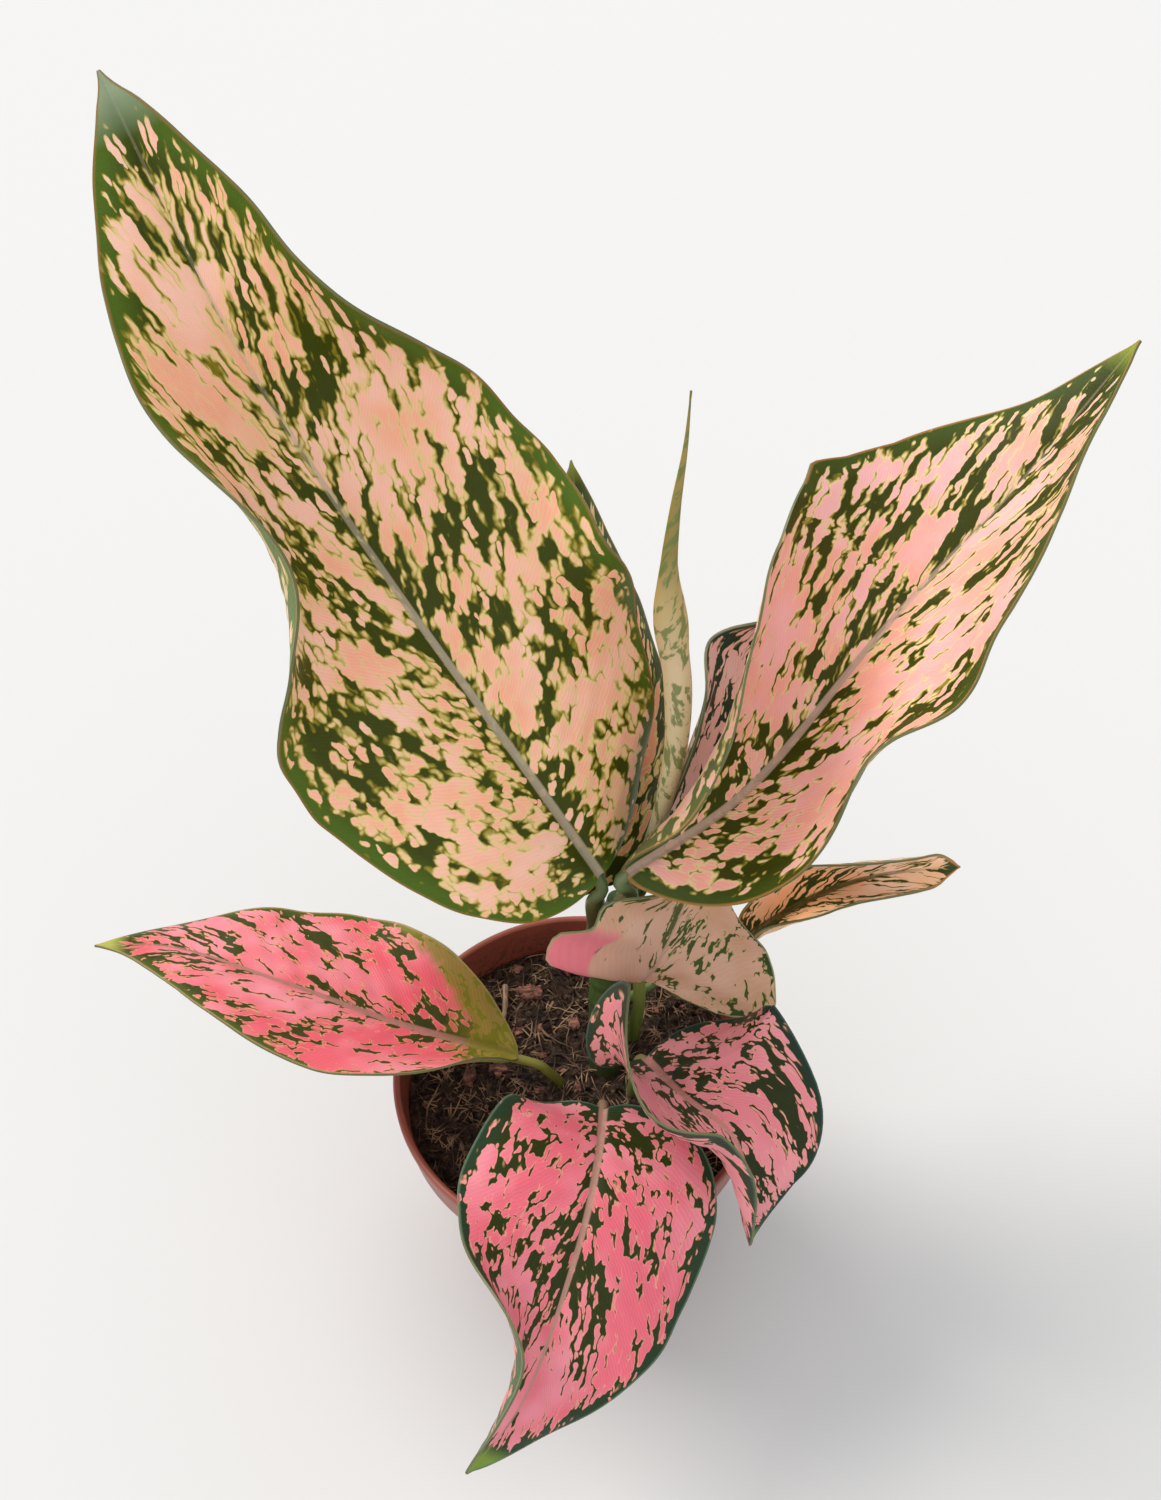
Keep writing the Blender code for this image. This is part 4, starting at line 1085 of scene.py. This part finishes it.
def worn_block(cuts, seed):
    deselect()
    bpy.ops.mesh.primitive_cube_add(size=1)
    block = bpy.context.object
    bpy.ops.object.mode_set(mode="EDIT")
    bpy.ops.mesh.select_all(action="SELECT")
    bpy.ops.mesh.subdivide(number_cuts=cuts)
    bpy.ops.object.mode_set(mode="OBJECT")
    for vertex in block.data.vertices:
        vertex.co = worn(*vertex.co, seed)
    return block


def build_bark():
    """The larger chips fill their nodes; small ones lie between them, one chip copied and turned."""
    bark = bark_material()
    for index in range(BARK_CHIPS):
        node = f"bark_chip_{index + 1}"
        low, high = (Vector(corner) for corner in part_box(node))
        size = high - low
        chip = worn_block(13, index + 1)
        chip.data.transform(Matrix.Translation((low + high) / 2 - Vector((0, 0, 0.2 * MM)))
                            @ Matrix.Diagonal((*size, 1)) @ Matrix.Rotation(1.3 * index, 4, "Z"))
        chip.name = node + "_worn"
        finish_piece(smooth_faces(chip, 30), node, "bark", bark)
    rng = random.Random(21)
    first = worn_block(3, 4.4)
    small = []
    for _ in range(BARK_CRUMBS):
        x, y = scattered(rng, 40, STALK_FEET)
        size = rng.uniform(1.6, 4.2)
        made = bpy.data.objects.new("bark crumb", first.data.copy())
        bpy.context.collection.objects.link(made)
        turn = (Matrix.Rotation(rng.uniform(0, 6.28), 4, "Z")
                @ Matrix.Rotation(rng.uniform(-0.5, 0.5), 4, "X"))
        made.data.transform(Matrix.Scale(MM, 4) @ Matrix.Translation((x, y, crumb_height(x, y) + 0.4))
                            @ turn @ Matrix.Diagonal((size, size * rng.uniform(0.5, 0.9), 1.2, 1)))
        small.append(made)
    bpy.data.objects.remove(first, do_unlink=True)
    finish_piece(smooth_faces(joined("bark_crumbs", small), 30), None, "bark", bark)


def build_twig():
    """The dry twig beside the back wall of the pot."""
    low, high = (Vector(corner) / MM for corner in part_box("twig"))
    middle = (low.z + high.z) / 2
    steps = 24
    path = []
    for k in range(steps + 1):
        share = k / steps
        y = high.y - 0.3 - (high.y - low.y - 0.6) * share
        x = (low.x + high.x) / 2 + 0.35 * math.sin(3.3 * share + 0.6)
        knot = 0.16 * math.exp(-((share - 0.45) / 0.05) ** 2)
        path.append((x, y, middle, 0.78 - 0.25 * share + knot + 0.05 * math.sin(40 * share)))
    twig = smooth_faces(round_rod("twig_dry", path, 12), 50)
    made, tree, shader = new_material("dry twig bark", 0.85)
    place = add(tree, "TexCoord").outputs["Object"]
    streaks = add(tree, "TexNoise", {"Vector": add(tree, "Mapping", {0: place, "Scale": (1500, 250, 1500)}),
                                     "Scale": 1.0, "Detail": 4.0})
    colour = add(tree, "ValToRGB", {0: streaks.outputs["Fac"]}, stops=[
        (0.35, "#4A382C"), (0.65, "#9A7C62")])
    tree.links.new(colour.outputs[0], shader.inputs["Base Color"])
    finish_piece(twig, "twig", "bark", made)


def build_floor():
    """A wide pale floor that runs out of every view."""
    deselect()
    bpy.ops.mesh.primitive_plane_add(size=8)
    floor = bpy.context.object
    floor.name = "floor"
    made, tree, shader = new_material("pale matte floor", 0.9)
    shader.inputs["Base Color"].default_value = linear("#CBCBCB")
    shader.inputs["Specular IOR Level"].default_value = 0.1
    floor.data.materials.append(made)


def build_light():
    """Soft daylight from the upper left, as from a large window, and an even pale surround."""
    world = bpy.data.worlds.new("studio")
    world.use_nodes = True
    world.node_tree.nodes["Background"].inputs["Color"].default_value = linear("#F4F6F8")
    world.node_tree.nodes["Background"].inputs["Strength"].default_value = SURROUND_LIGHT
    bpy.context.scene.world = world
    lamp = bpy.data.lights.new("window", "SUN")
    lamp.energy = WINDOW_POWER
    lamp.angle = math.radians(WINDOW_SPREAD)
    lamp.color = linear("#FFFAF2")[:3]
    window = bpy.data.objects.new("window", lamp)
    window.rotation_euler = Vector(WINDOW_WAY).to_track_quat("Z", "Y").to_euler()
    bpy.context.scene.collection.objects.link(window)
    fill = bpy.data.objects.new("fill", bpy.data.lights.new("fill", "SUN"))
    fill.data.energy = FILL_POWER
    fill.data.angle = math.radians(120)
    fill.rotation_euler = Vector(FILL_WAY).to_track_quat("Z", "Y").to_euler()
    bpy.context.scene.collection.objects.link(fill)
    bpy.context.scene.view_settings.view_transform = "Standard"


def build_camera():
    """The photograph's own viewpoint, worked out from the pot's rim."""
    lens = bpy.data.cameras.new("camera")
    lens.lens = LENS_PIXELS / IMAGE_HEIGHT * lens.sensor_width
    lens.clip_start = 0.01
    made = bpy.data.objects.new("camera", lens)
    rows = np.array([CAMERA_RIGHT, CAMERA_UP, CAMERA_BACK]).T.tolist()
    made.matrix_world = Matrix.Translation(CAMERA_PLACE) @ Matrix(rows).to_4x4()
    bpy.context.scene.collection.objects.link(made)
    bpy.context.scene.camera = made


DOT_SPACING = 3.4
CRUMBS = 900
FIBRES = 1200
BARK_CRUMBS = 40
BARK_CHIPS = 9
SPEAR_TURNS = 1.5
STEM_SCARS = (72.0, 79.0, 86.0, 92.0, 99.0, 105.0)
STALK_FEET = [(7.0, 6.0, 5.5), (13.8, 13.5, 2.4), (12.8, -2.8, 2.4), (5.1, -8.5, 2.4),
              (-3.3, 1.0, 2.4)]

SURROUND_LIGHT = 0.88
WINDOW_POWER = 2.2
WINDOW_SPREAD = 32.0
FILL_POWER = 0.9
FILL_WAY = (-0.3, -0.8, 0.6)
WINDOW_WAY = (-0.5, 0.3, 0.8)

IMAGE_HEIGHT = 1500
LENS_PIXELS = 1450
CAMERA_PLACE = (0.0030, -0.1849, 0.3893)
CAMERA_RIGHT = (0.9996, -0.0213, -0.0198)
CAMERA_UP = (0.0291, 0.7320, 0.6807)
CAMERA_BACK = (0.0, -0.6810, 0.7323)

build_pot()
build_soil()
build_crumbs()
build_fibres()
build_bark()
build_twig()
build_stem()
build_spear()
build_leaves()
build_floor()
build_light()
build_camera()
